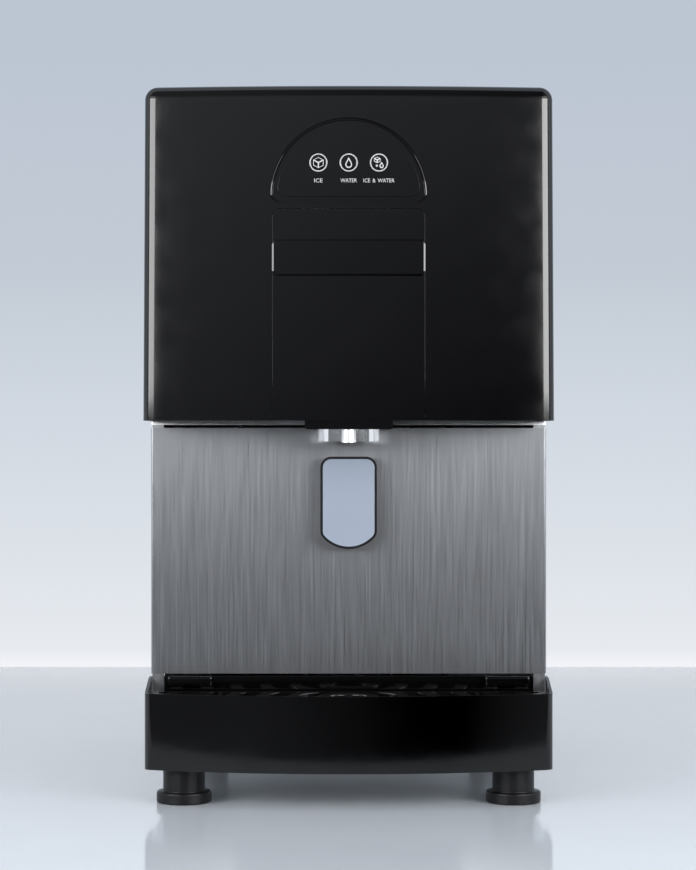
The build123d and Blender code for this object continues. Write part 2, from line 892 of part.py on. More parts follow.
def make_gate_housing():
    """Square duct between the bin's outlet and the chute, with bearings for the gate."""
    inner = gate_duct / 2
    outer = inner + gate_wall
    top = deck_z - glue_gap
    housing = block(-outer, outer, chute_y - outer, chute_y + outer, gate_base_z, top)
    housing -= block(-inner, inner, chute_y - inner, chute_y + inner,
                     gate_base_z - overrun, top + overrun)
    y, z = gate_hinge()
    housing -= rod_x(gate_shaft_radius + running_gap, -outer - overrun, outer + overrun, y, z)
    return housing


def make_gate_flap():
    """Ice gate: a plate on a shaft that runs out to its actuator."""
    y, z = gate_hinge()
    half = gate_duct / 2 - gate_edge_gap
    outer = gate_duct / 2 + gate_wall
    front = chute_y - gate_duct / 2 + gate_edge_gap
    flap = block(-half, half, front, y, z - gate_thickness / 2, z + gate_thickness / 2)
    return flap + rod_x(gate_shaft_radius, -outer - actuator_length / 2, outer, y, z)


def make_gate_actuator():
    """Rotary actuator on the side of the gate housing."""
    y, z = gate_hinge()
    start = -gate_duct / 2 - gate_wall
    body = block(start - actuator_length, start, y - actuator_width / 2, y + actuator_width / 2,
                 z - actuator_height + gate_shaft_drop - glue_gap, z + gate_shaft_drop - glue_gap)
    body -= rod_x(gate_shaft_radius + running_gap, start - actuator_length / 2 - seat_gap,
                  start + overrun, y, z)
    return body


def make_bin_deck():
    """Steel deck between the side panels that carries the bin and the reservoir."""
    half = inner_half_width - deck_inset + glue_gap
    rear = cabinet_rear_y - deck_rear_gap
    deck = block(-half, half, cabinet_front_y + sheet + glue_gap, rear, deck_z, deck_top_z)
    lug = block(half, inner_half_width - glue_gap, cabinet_front_y + post_window_setback, rear,
                deck_z, deck_top_z)
    deck += lug + mirror(lug, about=Plane.YZ)
    deck -= rod_z(evaporator_radius + seat_gap, 0, evaporator_y, deck_z - overrun, deck_top_z + overrun)
    port_x, port_y = reservoir_port()
    deck -= rod_z(spigot_radius + seat_gap, port_x, port_y, deck_z - overrun, deck_top_z + overrun)
    return deck


def make_bin_shelf():
    """Steel shelf welded to the deck's front edge, under the bin's front in the hood."""
    half = bin_half_width + bin_wall
    shelf = block(-half, half, bin_front_y, cabinet_front_y + sheet, deck_z, deck_top_z)
    return shelf - rod_z(bin_outlet_radius, 0, chute_y, deck_z - overrun, deck_top_z + overrun)


def bin_section(extra):
    """Cross-section of the bin in X and Z, wide above and drawn in to a round trough."""
    radius = trough_radius + extra
    half = bin_half_width + extra
    top = bin_top_z
    shoulder = deck_top_z + bin_shoulder - extra * slope_share
    rim = Polyline((-half, shoulder), (-half, top), (half, top), (half, shoulder))
    right = Line((half, shoulder), (radius, trough_z))
    left = Line((-radius, trough_z), (-half, shoulder))
    bowl = ThreePointArc((radius, trough_z), (0, trough_z - radius), (-radius, trough_z))
    return make_face([*rim.edges(), right, bowl, left])


def make_ice_bin():
    """Insulated bin with a trough floor, the outlet, the shaft holes and the ice inlet."""
    body = front_prism(bin_section(bin_wall), bin_front_y, bin_rear_y)
    body -= front_prism(bin_section(0), bin_inner_y, bin_rear_y - bin_wall)
    body -= block(-bin_half_width, bin_half_width, bin_inner_y, bin_rear_y - bin_wall,
                  bin_top_z - overrun, bin_top_z + overrun)
    base_half = trough_radius + bin_wall
    body += block(-base_half, base_half, bin_front_y, bin_inner_y, deck_top_z, trough_z)
    body += block(-base_half, base_half, bin_rear_y - bin_wall, bin_rear_y, deck_top_z, trough_z)
    body -= rod_z(bin_outlet_radius, 0, chute_y, deck_top_z - overrun, trough_z)
    body -= rod_y(agitator_shaft_radius + running_gap, 0, bin_inner_y - agitator_pivot,
                  bin_rear_y + overrun, trough_z)
    body -= rod_y(transfer_radius + seat_gap, 0, bin_rear_y - bin_wall - overrun,
                  bin_rear_y + overrun, transfer_z)
    return body


def make_bin_lid():
    """Lid on the bin's rim, with a locating frame inside it."""
    half = bin_half_width + bin_wall
    lid = block(-half, half, bin_front_y, bin_rear_y, bin_top_z, bin_top_z + lid_thickness)
    inner = bin_half_width - seam
    front = bin_inner_y + seam
    rear = bin_rear_y - bin_wall - seam
    frame = block(-inner, inner, front, rear, bin_top_z - lid_rim, bin_top_z)
    frame -= block(-inner + lid_thickness, inner - lid_thickness, front + lid_thickness,
                   rear - lid_thickness, bin_top_z - lid_rim - overrun, bin_top_z)
    return lid + frame


def make_agitator():
    """Shaft along the trough with crossed arms."""
    start = bin_inner_y - agitator_pivot + seat_gap
    end = bin_rear_y + agitator_gearbox_length / 2
    agitator = rod_y(agitator_shaft_radius, 0, start, end, trough_z)
    reach = trough_radius - agitator_arm_gap
    for index in range(agitator_arms):
        y = bin_inner_y + bin_length * (index + 1) / (agitator_arms + 1)
        arm = Rot(0, index * 180 / agitator_arms, 0) * Cylinder(agitator_arm_radius, 2 * reach)
        agitator += Pos(0, y, trough_z) * arm
    return agitator


def make_agitator_motor():
    """Gear motor behind the bin, bored for the agitator's shaft."""
    half = agitator_motor_half
    start = bin_rear_y
    body = block(-half, half, start, start + agitator_gearbox_length, deck_top_z, trough_z + half)
    end = start + agitator_gearbox_length
    body += rod_y(agitator_can_radius, 0, end, end + agitator_can_length, trough_z)
    body -= rod_y(agitator_shaft_radius + running_gap, 0, start - overrun,
                  start + agitator_gearbox_length / 2 + seat_gap, trough_z)
    return body


def make_evaporator():
    """Vertical freezing cylinder in its jacket, bored for the auger."""
    body = rod_z(evaporator_radius, 0, evaporator_y, evaporator_z, evaporator_top_z)
    body += rod_z(evaporator_head, 0, evaporator_y, evaporator_top_z, head_top_z)
    body -= rod_z(evaporator_bore, 0, evaporator_y, evaporator_z - overrun, head_top_z + overrun)
    return body


def make_auger():
    """Auger of a round core with a spiral flight, and its drive shaft below."""
    outer = evaporator_bore - auger_gap
    low = evaporator_z + seat_gap
    high = head_top_z - auger_shaft_radius
    pitch = (high - low - 2 * auger_flight_thickness) / auger_flights
    core = rod_z(auger_shaft_radius, 0, 0, low, high)
    root = auger_shaft_radius * core_share
    section = Rectangle(outer - root, auger_flight_thickness)
    path = Helix(pitch=pitch, height=pitch * auger_flights, radius=(outer + root) / 2)
    place = Plane(origin=path @ 0, x_dir=(1, 0, 0), z_dir=(0, 1, 0))
    flight = sweep(place * section, path=path, is_frenet=True)
    core += Pos(0, 0, low + auger_flight_thickness) * flight
    core += rod_z(drive_shaft_radius, 0, 0, low - drive_shaft_length, low)
    return Pos(0, evaporator_y, 0) * core


def make_auger_motor():
    """Gear motor under the evaporator."""
    half = gearbox_half
    body = block(-half, half, evaporator_y - half, evaporator_y + half, gearbox_z, evaporator_z)
    body = fillet(body.edges().filter_by(Axis.Z), supply_edge)
    body += rod_z(motor_radius, 0, evaporator_y, gearbox_z - motor_height, gearbox_z)
    body -= rod_z(drive_shaft_radius + running_gap, 0, evaporator_y,
                  evaporator_z - drive_shaft_length - seat_gap, evaporator_z + overrun)
    return body


def make_drive_stand():
    """Bent sheet stand that carries the gear motor over the base pan."""
    half = stand_half_width
    y0 = evaporator_y - stand_half_depth
    y1 = evaporator_y + stand_half_depth
    stand = block(-half, half, y0, y1, gearbox_z - stand_sheet, gearbox_z)
    leg = block(half - stand_sheet, half, y0, y1, pan_top_z, gearbox_z)
    stand += leg + mirror(leg, about=Plane.YZ)
    stand -= rod_z(motor_radius + seat_gap, 0, evaporator_y, gearbox_z - stand_sheet - overrun,
                   gearbox_z + overrun)
    return stand


def make_transfer_tube():
    """Tube that leads the ice from the evaporator's head up and forward into the bin."""
    inner = transfer_radius - transfer_wall
    riser = transfer_radius + transfer_step
    top = transfer_z + riser
    front = bin_rear_y - bin_wall
    tube = rod_z(riser, 0, evaporator_y, head_top_z, top)
    tube += rod_y(transfer_radius, 0, front, evaporator_y, transfer_z)
    tube -= rod_z(inner + transfer_step, 0, evaporator_y, head_top_z - overrun, top - transfer_wall)
    tube -= rod_y(inner, 0, front - overrun, evaporator_y, transfer_z)
    return tube


def compressor_centre():
    """X and Y of the compressor's axis."""
    return compressor_x, cabinet_rear_y - compressor_setback


def compressor_base_z():
    """Underside of the compressor's shell."""
    return pan_top_z + grommet_height + compressor_plate


def make_compressor():
    """Welded shell on a base plate with four grommets."""
    x, y = compressor_centre()
    base = compressor_base_z()
    shell = rod_z(compressor_radius, x, y, base, base + compressor_height)
    shell = fillet(shell.edges().group_by(Axis.Z)[-1], compressor_top_fillet)
    shell = fillet(shell.edges().group_by(Axis.Z)[0], compressor_base_fillet)
    half_w = compressor_plate_width / 2
    half_d = compressor_plate_depth / 2
    shell += block(x - half_w, x + half_w, y - half_d, y + half_d, base - compressor_plate, base)
    for side in (-1, 1):
        for end in (-1, 1):
            shell += rod_z(grommet_radius, x + side * (half_w - grommet_inset),
                           y + end * (half_d - grommet_inset), pan_top_z, base)
    return shell


def condenser_columns():
    """X of the condenser's two columns of tube."""
    outer = -inner_half_width + condenser_inset
    return outer + condenser_thickness / 4, outer + condenser_thickness * 3 / 4


def condenser_front_y():
    """Front end of the condenser."""
    return cabinet_front_y + condenser_front_gap


def condenser_row_z(row):
    """Height of a row of condenser tube."""
    low = pan_top_z + condenser_lift
    return low + condenser_height * (row + 1 / 2) / condenser_rows


def make_condenser():
    """Finned coil beside the left louvres: tubes through thin fins, on a foot bracket."""
    outer = -inner_half_width + condenser_inset
    inner = outer + condenser_thickness
    low = pan_top_z + condenser_lift
    y0 = condenser_front_y()
    far = y0 + condenser_length + fin_thickness
    step = condenser_length / (fin_count - 1)
    core = block(outer, inner, y0, y0 + fin_thickness, low, low + condenser_height)
    for index in range(1, fin_count):
        y = y0 + index * step
        core += block(outer, inner, y, y + fin_thickness, low, low + condenser_height)
    for x in condenser_columns():
        for row in range(condenser_rows):
            core += rod_y(condenser_tube_radius, x, y0, far, condenser_row_z(row))
    core += block(outer, inner, y0, far, low - condenser_bracket, low)
    for y in (y0, far - condenser_bracket):
        core += block(outer, inner, y, y + condenser_bracket, pan_top_z, low)
    return core


def fan_centre():
    """Y and Z of the fan's axis."""
    y = condenser_front_y() + condenser_length / 2
    return y, pan_top_z + condenser_lift + condenser_height / 2


def shroud_x():
    """Left face of the fan shroud, against the condenser's fins."""
    return -inner_half_width + condenser_inset + condenser_thickness


def make_fan_shroud():
    """Sheet on the condenser with a round throat for the fan."""
    x = shroud_x()
    y, z = fan_centre()
    half = condenser_height / 2
    reach = fan_radius + fan_tip_gap
    shroud = block(x, x + shroud_sheet, y - condenser_length / 2, y + condenser_length / 2,
                   z - half, z + half)
    shroud += rod_x(reach + shroud_sheet, x, x + shroud_ring, y, z)
    return shroud - rod_x(reach, x - overrun, x + shroud_ring + overrun, y, z)


def make_fan_blade():
    """Hub with twisted blades and a shaft that runs into the motor."""
    y, z = fan_centre()
    x = shroud_x() + fan_stand_off
    fan = rod_x(fan_hub_radius, 0, fan_depth, 0, 0)
    span = fan_radius - fan_hub_radius / 2
    for index in range(fan_blades):
        blade = Rot(0, 0, blade_twist) * Box(blade_thickness, fan_depth * 2, span)
        blade = Pos(0, 0, fan_hub_radius / 2 + span / 2) * blade
        blade = Pos(fan_depth / 2, 0, 0) * Rot(index * 360 / fan_blades, 0, 0) * blade
        fan += blade
    fan &= rod_x(fan_radius, 0, fan_depth, 0, 0)
    fan += rod_x(fan_shaft_radius, fan_depth, fan_depth + fan_stand_off + fan_shaft_length, 0, 0)
    return Pos(x, y, z) * fan


def make_fan_motor():
    """Fan motor with the strap that carries it on the shroud."""
    y, z = fan_centre()
    plane = shroud_x() + shroud_sheet
    start = shroud_x() + 2 * fan_stand_off + fan_depth
    motor = rod_x(fan_motor_radius, start, start + fan_motor_length, y, z)
    reach = fan_radius + fan_tip_gap + shroud_sheet + strap_sheet
    half = strap_width / 2
    top = start + strap_sheet
    motor += block(start, top, y - reach - strap_sheet, y + reach + strap_sheet, z - half, z + half)
    for side in (-1, 1):
        near = y + side * reach
        far = y + side * (reach + strap_sheet)
        motor += block(plane, top, min(near, far), max(near, far), z - half, z + half)
    motor -= rod_x(fan_shaft_radius + running_gap, start - overrun,
                   start + fan_shaft_length + seat_gap, y, z)
    return motor


def reservoir_limits():
    """X and Y limits of the reservoir's outside."""
    x0 = -inner_half_width + reservoir_inset
    y1 = reservoir_rear_y
    return x0, x0 + reservoir_width, y1 - reservoir_length, y1


def reservoir_port():
    """X and Y of the feed port in the reservoir's floor."""
    x0, x1, y0, y1 = reservoir_limits()
    return (x0 + x1) / 2 + spigot_length, evaporator_y


def fill_port():
    """X and Y of the fill spigot over the reservoir."""
    x0, x1, y0, y1 = reservoir_limits()
    return (x0 + x1) / 2, y1 - fill_bar


def float_pivot():
    """X, Y and Z of the float's pivot."""
    x0, x1, y0, y1 = reservoir_limits()
    z = deck_top_z + reservoir_height - float_pivot_drop
    x = (x0 + x1) / 2 - reservoir_width * float_share
    return x, y1 - reservoir_wall - float_pivot_inset, z


def make_reservoir():
    """Open water tank with its fill bar, its feed spigot and the ears for the float."""
    x0, x1, y0, y1 = reservoir_limits()
    wall = reservoir_wall
    top = deck_top_z + reservoir_height
    tank = block(x0, x1, y0, y1, deck_top_z, top)
    tank = fillet(tank.edges().filter_by(Axis.Z), 2 * wall)
    tank -= block(x0 + wall, x1 - wall, y0 + wall, y1 - wall, deck_top_z + wall, top + overrun)
    fill_x, fill_y = fill_port()
    tank += block(x0 + wall, x1 - wall, fill_y - fill_bar / 2, fill_y + fill_bar / 2,
                  top - fill_bar_thickness, top)
    tank += rod_z(spigot_radius, fill_x, fill_y, top, top + spigot_length)
    tank -= rod_z(spigot_bore, fill_x, fill_y, top - overrun - fill_bar_thickness,
                  top + spigot_length + overrun)
    port_x, port_y = reservoir_port()
    tank += rod_z(spigot_radius, port_x, port_y, deck_z - spigot_length, deck_top_z)
    tank -= rod_z(spigot_bore, port_x, port_y, deck_z - spigot_length - overrun,
                  deck_top_z + wall + overrun)
    pivot_x, pivot_y, pivot_z = float_pivot()
    gap = float_arm_width / 2 + float_ear_gap
    for side in (-1, 1):
        near = pivot_x + side * gap
        far = pivot_x + side * (gap + float_ear)
        ear = block(min(near, far), max(near, far), pivot_y - float_ear, y1 - wall,
                    pivot_z - float_ear, pivot_z + float_ear)
        tank += ear
    tank -= rod_x(float_pin_radius + running_gap, pivot_x - gap - float_ear - overrun,
                  pivot_x + gap + float_ear + overrun, pivot_y, pivot_z)
    return tank


def make_float_arm():
    """Float on its arm, with the pivot pin."""
    x, y, z = float_pivot()
    half = float_arm_width / 2
    thick = float_arm_thickness / 2
    reach = half + float_ear_gap + float_ear
    arm = rod_x(float_pin_radius, x - reach, x + reach, y, z)
    arm += block(x - half, x + half, y - float_arm_length, y + thick, z - thick, z + thick)
    end = y - float_arm_length
    size = float_size / 2
    bulb = block(x - size, x + size, end - float_size, end, z - float_height + thick, z + thick)
    return arm + fillet(bulb.edges().filter_by(Axis.Z), size / 2)


def valve_z():
    """Height of the water inlet's axis."""
    return pan_top_z + valve_lift


def valve_outlets():
    """X of the two valve outlets: the dispensing one and the filling one."""
    step = valve_half_width - coil_can_radius
    return valve_x - step, valve_x + step


def make_inlet_valve():
    """Double solenoid valve with its threaded inlet through the rear panel."""
    z = valve_z()
    rear = rear_sheet_y - glue_gap
    body = block(valve_x - valve_half_width, valve_x + valve_half_width, rear - valve_depth, rear,
                 z - valve_height / 2, z + valve_height / 2)
    body += rod_y(valve_neck_radius, valve_x, rear, fitting_y, z)
    body += rod_y(valve_thread_radius, valve_x, fitting_y, rear_y, z)
    body -= rod_y(valve_bore, valve_x, rear - valve_depth / 4, rear_y + overrun, z)
    for x in valve_outlets():
        body += rod_z(coil_can_radius, x, rear - valve_depth / 2,
                      z - valve_height / 2 - coil_can_height, z - valve_height / 2)
    front_x, fill_x = valve_outlets()
    body += rod_y(spigot_radius, front_x, rear - valve_depth - spigot_length, rear - valve_depth, z)
    body += rod_z(spigot_radius, fill_x, rear - valve_depth / 2, z + valve_height / 2,
                  z + valve_height / 2 + spigot_length)
    return body


def nozzle_hose_z():
    """Height of the nozzle hose's run under the deck."""
    return deck_z - nozzle_hose_drop


def make_water_hoses():
    """Hoses from the valve to the nozzle and to the reservoir, and from there to the evaporator."""
    z = valve_z()
    rear = rear_sheet_y - glue_gap
    front_x, fill_x = valve_outlets()
    start_y = rear - valve_depth - spigot_length
    run_y = start_y - hose_run
    high = nozzle_hose_z()
    barb_top = lip_flange_z - glue_gap + barb_height
    nozzle_hose = tube(
        [(front_x, start_y, z), (front_x, run_y, z), (front_x, run_y, high),
         (front_x, nozzle_y, high), (0, nozzle_y, high), (0, nozzle_y, barb_top)],
        hose_bend, hose_radius, hose_bore,
    )
    px, py = fill_port()
    spigot_top = deck_top_z + reservoir_height + spigot_length
    over = spigot_top + fill_hose_over
    valve_y = rear - valve_depth / 2
    valve_top = z + valve_height / 2 + spigot_length
    fill_hose = tube(
        [(fill_x, valve_y, valve_top), (fill_x, valve_y, over), (px, valve_y, over),
         (px, py, over), (px, py, spigot_top)],
        hose_bend, hose_radius, hose_bore,
    )
    port_x, port_y = reservoir_port()
    feed_z = evaporator_z + hose_run
    feed_hose = tube(
        [(port_x, port_y, deck_z - spigot_length), (port_x, port_y, feed_z),
         (-evaporator_radius - glue_gap, port_y, feed_z)],
        hose_bend, hose_radius, hose_bore,
    )
    return Compound(children=[nozzle_hose, fill_hose, feed_hose])


def make_refrigerant_lines():
    """Copper lines: suction, discharge and liquid."""
    cx, cy = compressor_centre()
    top = compressor_base_z() + compressor_height + glue_gap
    side = evaporator_radius + glue_gap
    suction_z = evaporator_z + suction_lift
    suction = tube(
        [(side, evaporator_y, suction_z), (cx, evaporator_y, suction_z), (cx, cy, suction_z),
         (cx, cy, top)],
        copper_bend, copper_radius, copper_bore,
    )
    column = condenser_columns()[0]
    end_y = condenser_front_y() + condenser_length + fin_thickness + glue_gap
    upper_z = condenser_row_z(condenser_rows - 1)
    port_x = cx - compressor_top_fillet
    bridge_z = top + discharge_rise
    discharge = tube(
        [(port_x, cy, top), (port_x, cy, bridge_z), (column, cy, bridge_z), (column, cy, upper_z),
         (column, end_y, upper_z)],
        copper_bend, copper_radius, copper_bore,
    )
    lower_z = condenser_row_z(0)
    liquid_y = end_y + liquid_run
    liquid_x = -stand_half_width - liquid_run / 2
    liquid_z = evaporator_z + liquid_lift
    liquid = tube(
        [(column, end_y, lower_z), (column, liquid_y, lower_z), (liquid_x, liquid_y, lower_z),
         (liquid_x, liquid_y, liquid_z), (liquid_x, evaporator_y, liquid_z),
         (-side, evaporator_y, liquid_z)],
        copper_bend, copper_radius, copper_bore,
    )
    return Compound(children=[suction, discharge, liquid])


def lever_pivot():
    """Y and Z of the lever's pin."""
    return cabinet_front_y + lever_pin_setback, splash_top_z - lever_pin_drop


def lever_outline(inset):
    """Paddle outline in X and Z: rounded top corners and a bowed lower edge."""
    top = splash_top_z - lever_top_drop
    base = top - lever_height
    side_end = top - lever_side_height
    half = lever_half_width - inset
    bowl = ThreePointArc((-half, side_end), (0, base + inset), (half, side_end))
    sides = Polyline((half, side_end), (half, top - inset), (-half, top - inset), (-half, side_end))
    outline = make_face([bowl, *sides.edges()])
    points = outline.vertices().sort_by(Axis.Y)
    outline = fillet(points[:2], lever_blend - inset)
    points = outline.vertices().group_by(Axis.Y)[-1]
    return fillet(points, lever_top_corner - inset)


def lever_front_y():
    """Front of the lever's black body."""
    return panel_y - lever_gap - lever_depth


def make_lever_body():
    """Black paddle with an arm through the panel, a knuckle on the pin and a switch tail."""
    front = lever_front_y()
    back = front + lever_depth
    y, z = lever_pivot()
    body = front_prism(lever_outline(0), front, back)
    pocket = front_prism(lever_outline(lever_rim), front - overrun,
                         front + pad_thickness - pad_proud + glue_gap)
    body -= pocket
    half = knuckle_half_width
    body += block(-half, half, back, y, z - lever_arm_height / 2, z + lever_arm_height / 2)
    body += rod_x(knuckle_radius, -half, half, y, z)
    body += block(-half, half, y - tail_thickness / 2, y + tail_thickness / 2, z, z + tail_height)
    return body - rod_x(lever_pin_radius + running_gap, -half - overrun, half + overrun, y, z)


def make_lever_pad():
    """Pale pad set into the lever's body, with a rounded front edge."""
    front = lever_front_y() - pad_proud
    pad = front_prism(lever_outline(lever_rim + glue_gap), front, front + pad_thickness)
    return fillet(pad.edges().group_by(Axis.Y)[0], pad_edge)


def make_lever_bracket():
    """Sheet bracket behind the splash panel with two ears for the pin."""
    y, z = lever_pivot()
    ear_x = bracket_half_width
    low = z - bracket_below
    high = z + bracket_above
    plate_half = ear_x + bracket_sheet
    bracket = block(-plate_half, plate_half, cabinet_front_y, cabinet_front_y + bracket_sheet, low, high)
    bracket -= block(-slot_half_width, slot_half_width, cabinet_front_y - overrun,
                     cabinet_front_y + bracket_sheet + overrun, z - slot_base_drop / 2,
                     high + overrun)
    ear_end = cabinet_front_y + bracket_sheet + ear_depth + lever_switch_depth
    ear = block(ear_x, ear_x + bracket_sheet, cabinet_front_y, ear_end, low, high)
    bracket += ear + mirror(ear, about=Plane.YZ)
    reach = ear_x + bracket_sheet + overrun
    return bracket - rod_x(lever_pin_radius + running_gap, -reach, reach, y, z)


def make_lever_pin():
    """Pin through the ears, with a head at each end."""
    y, z = lever_pivot()
    end = bracket_half_width + bracket_sheet + glue_gap
    pin = rod_x(lever_pin_radius, -end, end, y, z)
    head = rod_x(pin_head_radius, end, end + pin_head, y, z)
    return pin + head + mirror(head, about=Plane.YZ)


def make_lever_switch():
    """Small switch between the ears, worked by the lever's tail."""
    y, z = lever_pivot()
    start = y + tail_thickness / 2 + seat_gap
    half = bracket_half_width - glue_gap
    top = z + bracket_above
    return block(-half, half, start, start + lever_switch_depth, top - lever_switch_height, top)


def make_lever_spring():
    """Return spring wound round the pin beside the knuckle."""
    y, z = lever_pivot()
    start_x = knuckle_half_width + spring_wire + seat_gap
    height = spring_pitch * spring_turns
    coil = Helix(pitch=spring_pitch, height=height, radius=spring_radius, direction=(1, 0, 0))
    coil = Pos(start_x, y, z) * coil
    wire = Plane(origin=coil @ 0, z_dir=coil % 0) * Circle(spring_wire)
    return sweep(wire, path=coil, is_frenet=True)


def make_tray_housing():
    """Black bowed housing with raised sides, a floor, a rear wall, its ledge and two blocks."""
    high = rim_z + tray_side_rise
    rear = panel_y + tray_side_reach
    body = extrude(Pos(0, 0, base_z) * tray_outline(0, rear), amount=high - base_z)
    body -= extrude(Pos(0, 0, base_z - overrun) * tray_outline(tray_wall, rear + overrun),
                    amount=high - base_z + 2 * overrun)
    corner_y = hood_front_y + tray_bow_radius
    corner_y -= math.sqrt(tray_bow_radius**2 - tray_half_width**2)
    corner_y += tray_corner
    half = tray_half_width + overrun
    ramp = Polyline(
        (hood_front_y - overrun, rim_z), (corner_y, rim_z), (tray_rear_y, high),
        (rear + overrun, high), (rear + overrun, high + overrun),
        (hood_front_y - overrun, high + overrun), close=True,
    )
    body -= Pos(-half, 0, 0) * extrude(Plane.YZ * make_face(ramp), amount=2 * half)
    body += extrude(Pos(0, 0, tray_floor_z - tray_wall) * tray_outline(tray_wall, tray_rear_y),
                    amount=tray_wall)
    wall_half = post_inner_x - seam
    rear_top = rim_z + tray_rear_rise
    body += block(-wall_half, wall_half, tray_rear_y - tray_wall, tray_rear_y,
                  tray_floor_z - tray_wall, rear_top)
    depth = tray_rear_y - tray_wall
    body += block(-wall_half, wall_half, depth - locator_depth, depth, grille_z, grille_top_z)
    locator = block(locator_inner, locator_outer, depth - locator_depth, depth,
                    rear_top - locator_height, rear_top)
    edges = locator.edges().filter_by(Axis.Z).sort_by(Axis.Y)[:2]
    edges += locator.edges().filter_by(Axis.Y).group_by(Axis.Z)[0]
    locator = fillet(edges, locator_edge)
    body += locator + mirror(locator, about=Plane.YZ)
    for x, y in tray_screw_places():
        body += rod_z(tray_boss_radius, x, y, pan_top_z, tray_floor_z - tray_wall)
        body -= rod_z(screw_shank_radius + screw_hole_gap, x, y, pan_top_z - overrun,
                      pan_top_z + screw_shank_length + overrun)
    drain_y = tray_drain_y()
    body -= rod_z(drain_radius + seat_gap, 0, drain_y, tray_floor_z - tray_wall - overrun,
                  tray_floor_z + overrun)
    return body


def tray_drain_y():
    """Y of the drip pan's drain."""
    return pan_rear_y - pan_wall - 2 * drain_radius


def drip_pan_outline(inset, rear_inset):
    """Plan outline of the drip pan's outside, in front of the locating blocks, moved inwards."""
    edge = tray_wall + pan_clearance + inset
    return bowed_outline(
        tray_half_width - edge,
        hood_front_y + edge,
        pan_rear_y - rear_inset,
        tray_bow_radius - edge,
        pan_corner - inset,
    )


def make_drip_pan():
    """Lift-out pan with a drain spigot."""
    height = grille_z - pan_floor_z
    pan = extrude(Pos(0, 0, pan_floor_z) * drip_pan_outline(0, 0), amount=height)
    pan -= extrude(Pos(0, 0, pan_floor_z + pan_wall) * drip_pan_outline(pan_wall, pan_wall),
                   amount=height)
    y = tray_drain_y()
    pan += rod_z(drain_radius, 0, y, pan_floor_z - drain_spigot, pan_floor_z)
    pan -= rod_z(drain_bore, 0, y, pan_floor_z - drain_spigot - overrun,
                 pan_floor_z + pan_wall + overrun)
    return pan


def make_drip_grille():
    """Grille of concentric bars in a frame, with lower ribs from front to back."""
    plate = Pos(0, 0, grille_z) * drip_pan_outline(0, 0)
    grille = extrude(plate, amount=grille_thickness)
    window = drip_pan_outline(grille_edge, grille_back_edge)
    window_solid = extrude(Pos(0, 0, grille_z) * window, amount=grille_thickness)
    grille -= extrude(Pos(0, 0, grille_z - overrun) * window, amount=grille_thickness + 2 * overrun)
    centre_y = hood_front_y + ring_centre_setback
    count = int((tray_half_width - ring_first_radius) / ring_pitch) + 1
    bars = []
    for index in range(count):
        radius = ring_first_radius + index * ring_pitch
        ring = rod_z(radius + ring_bar, 0, centre_y, grille_z, grille_top_z)
        ring -= rod_z(radius, 0, centre_y, grille_z - overrun, grille_top_z + overrun)
        ring = fillet(ring.edges().group_by(Axis.Z)[-1], grille_bar_edge)
        bars.append(ring & window_solid)
    for bar in bars:
        grille += bar
    ribs = []
    for index in range(grille_ribs):
        x = (index - (grille_ribs - 1) / 2) * grille_rib_spacing
        rib = block(x - grille_rib / 2, x + grille_rib / 2, hood_front_y, tray_rear_y,
                    grille_z, grille_top_z - grille_rib_drop)
        ribs.append(rib & window_solid)
    for rib in ribs:
        grille += rib
    return grille


def make_drain_pipe():
    """Cup under the drip pan's spigot, with a pipe to the hose outlet behind the cabinet."""
    y = tray_drain_y()
    top = tray_floor_z - tray_wall - glue_gap
    cup_radius = drain_radius + 2 * seat_gap + tray_wall
    level = pan_top_z + drain_pipe_lift
    start_y = y + cup_radius - tray_wall / 2
    cup = rod_z(cup_radius, 0, y, level - drain_pipe_radius - cup_drop, top)
    pipe = rod_y(drain_pipe_radius, 0, start_y, fitting_y, level)
    outlet = rod_y(drain_outlet_radius, 0, fitting_y, rear_y, level)
    drain = cup + pipe + outlet
    drain -= rod_z(cup_radius - tray_wall, 0, y, level - drain_pipe_bore - cup_drop, top + overrun)
    drain -= rod_y(drain_pipe_bore, 0, y, rear_y + overrun, level)
    return drain


def make_foot(x, y):
    """Levelling foot: a flange, a round body and a stud for the base pan's insert."""
    foot = rod_z(foot_flange_radius, x, y, 0, foot_flange_height)
    ends = foot.edges().filter_by(GeomType.CIRCLE)
    foot = fillet(ends, foot_flange_edge)
    top = pan_z
    stem_top = base_z
    foot += rod_z(foot_stem_radius, x, y, foot_flange_height, stem_top)
    foot += rod_z(insert_radius, x, y, stem_top, top - glue_gap)
    return foot + rod_z(foot_stud_radius, x, y, top - glue_gap, pan_top_z + foot_stud_length)


def make_power_inlet():
    """Mains inlet socket in the rear panel, with its three pins."""
    half_w = inlet_width / 2
    half_h = inlet_height / 2
    rear = cabinet_rear_y
    body = block(inlet_x - half_w, inlet_x + half_w, rear - inlet_depth, rear,
                 inlet_z - half_h, inlet_z + half_h)
    body += block(inlet_x - half_w - inlet_rim, inlet_x + half_w + inlet_rim, rear,
                  rear + inlet_rim_thickness, inlet_z - half_h - inlet_rim, inlet_z + half_h + inlet_rim)
    face = rear + inlet_rim_thickness
    body -= block(inlet_x - socket_width / 2, inlet_x + socket_width / 2, face - socket_depth,
                  face + overrun, inlet_z - socket_height / 2, inlet_z + socket_height / 2)
    pitch = socket_width / 4
    for index in (-1, 0, 1):
        x = inlet_x + index * pitch
        body += block(x - pin_width / 2, x + pin_width / 2, face - socket_depth,
                      face - socket_depth / 2, inlet_z - pin_height / 2, inlet_z + pin_height / 2)
    return body


def make_power_supply():
    """Closed electrical box on the base pan."""
    y0 = cabinet_front_y + supply_front_gap
    box = block(supply_x - supply_width / 2, supply_x + supply_width / 2, y0, y0 + supply_length,
                pan_top_z, pan_top_z + supply_height)
    return fillet(box.edges().filter_by(Axis.Z), supply_edge)


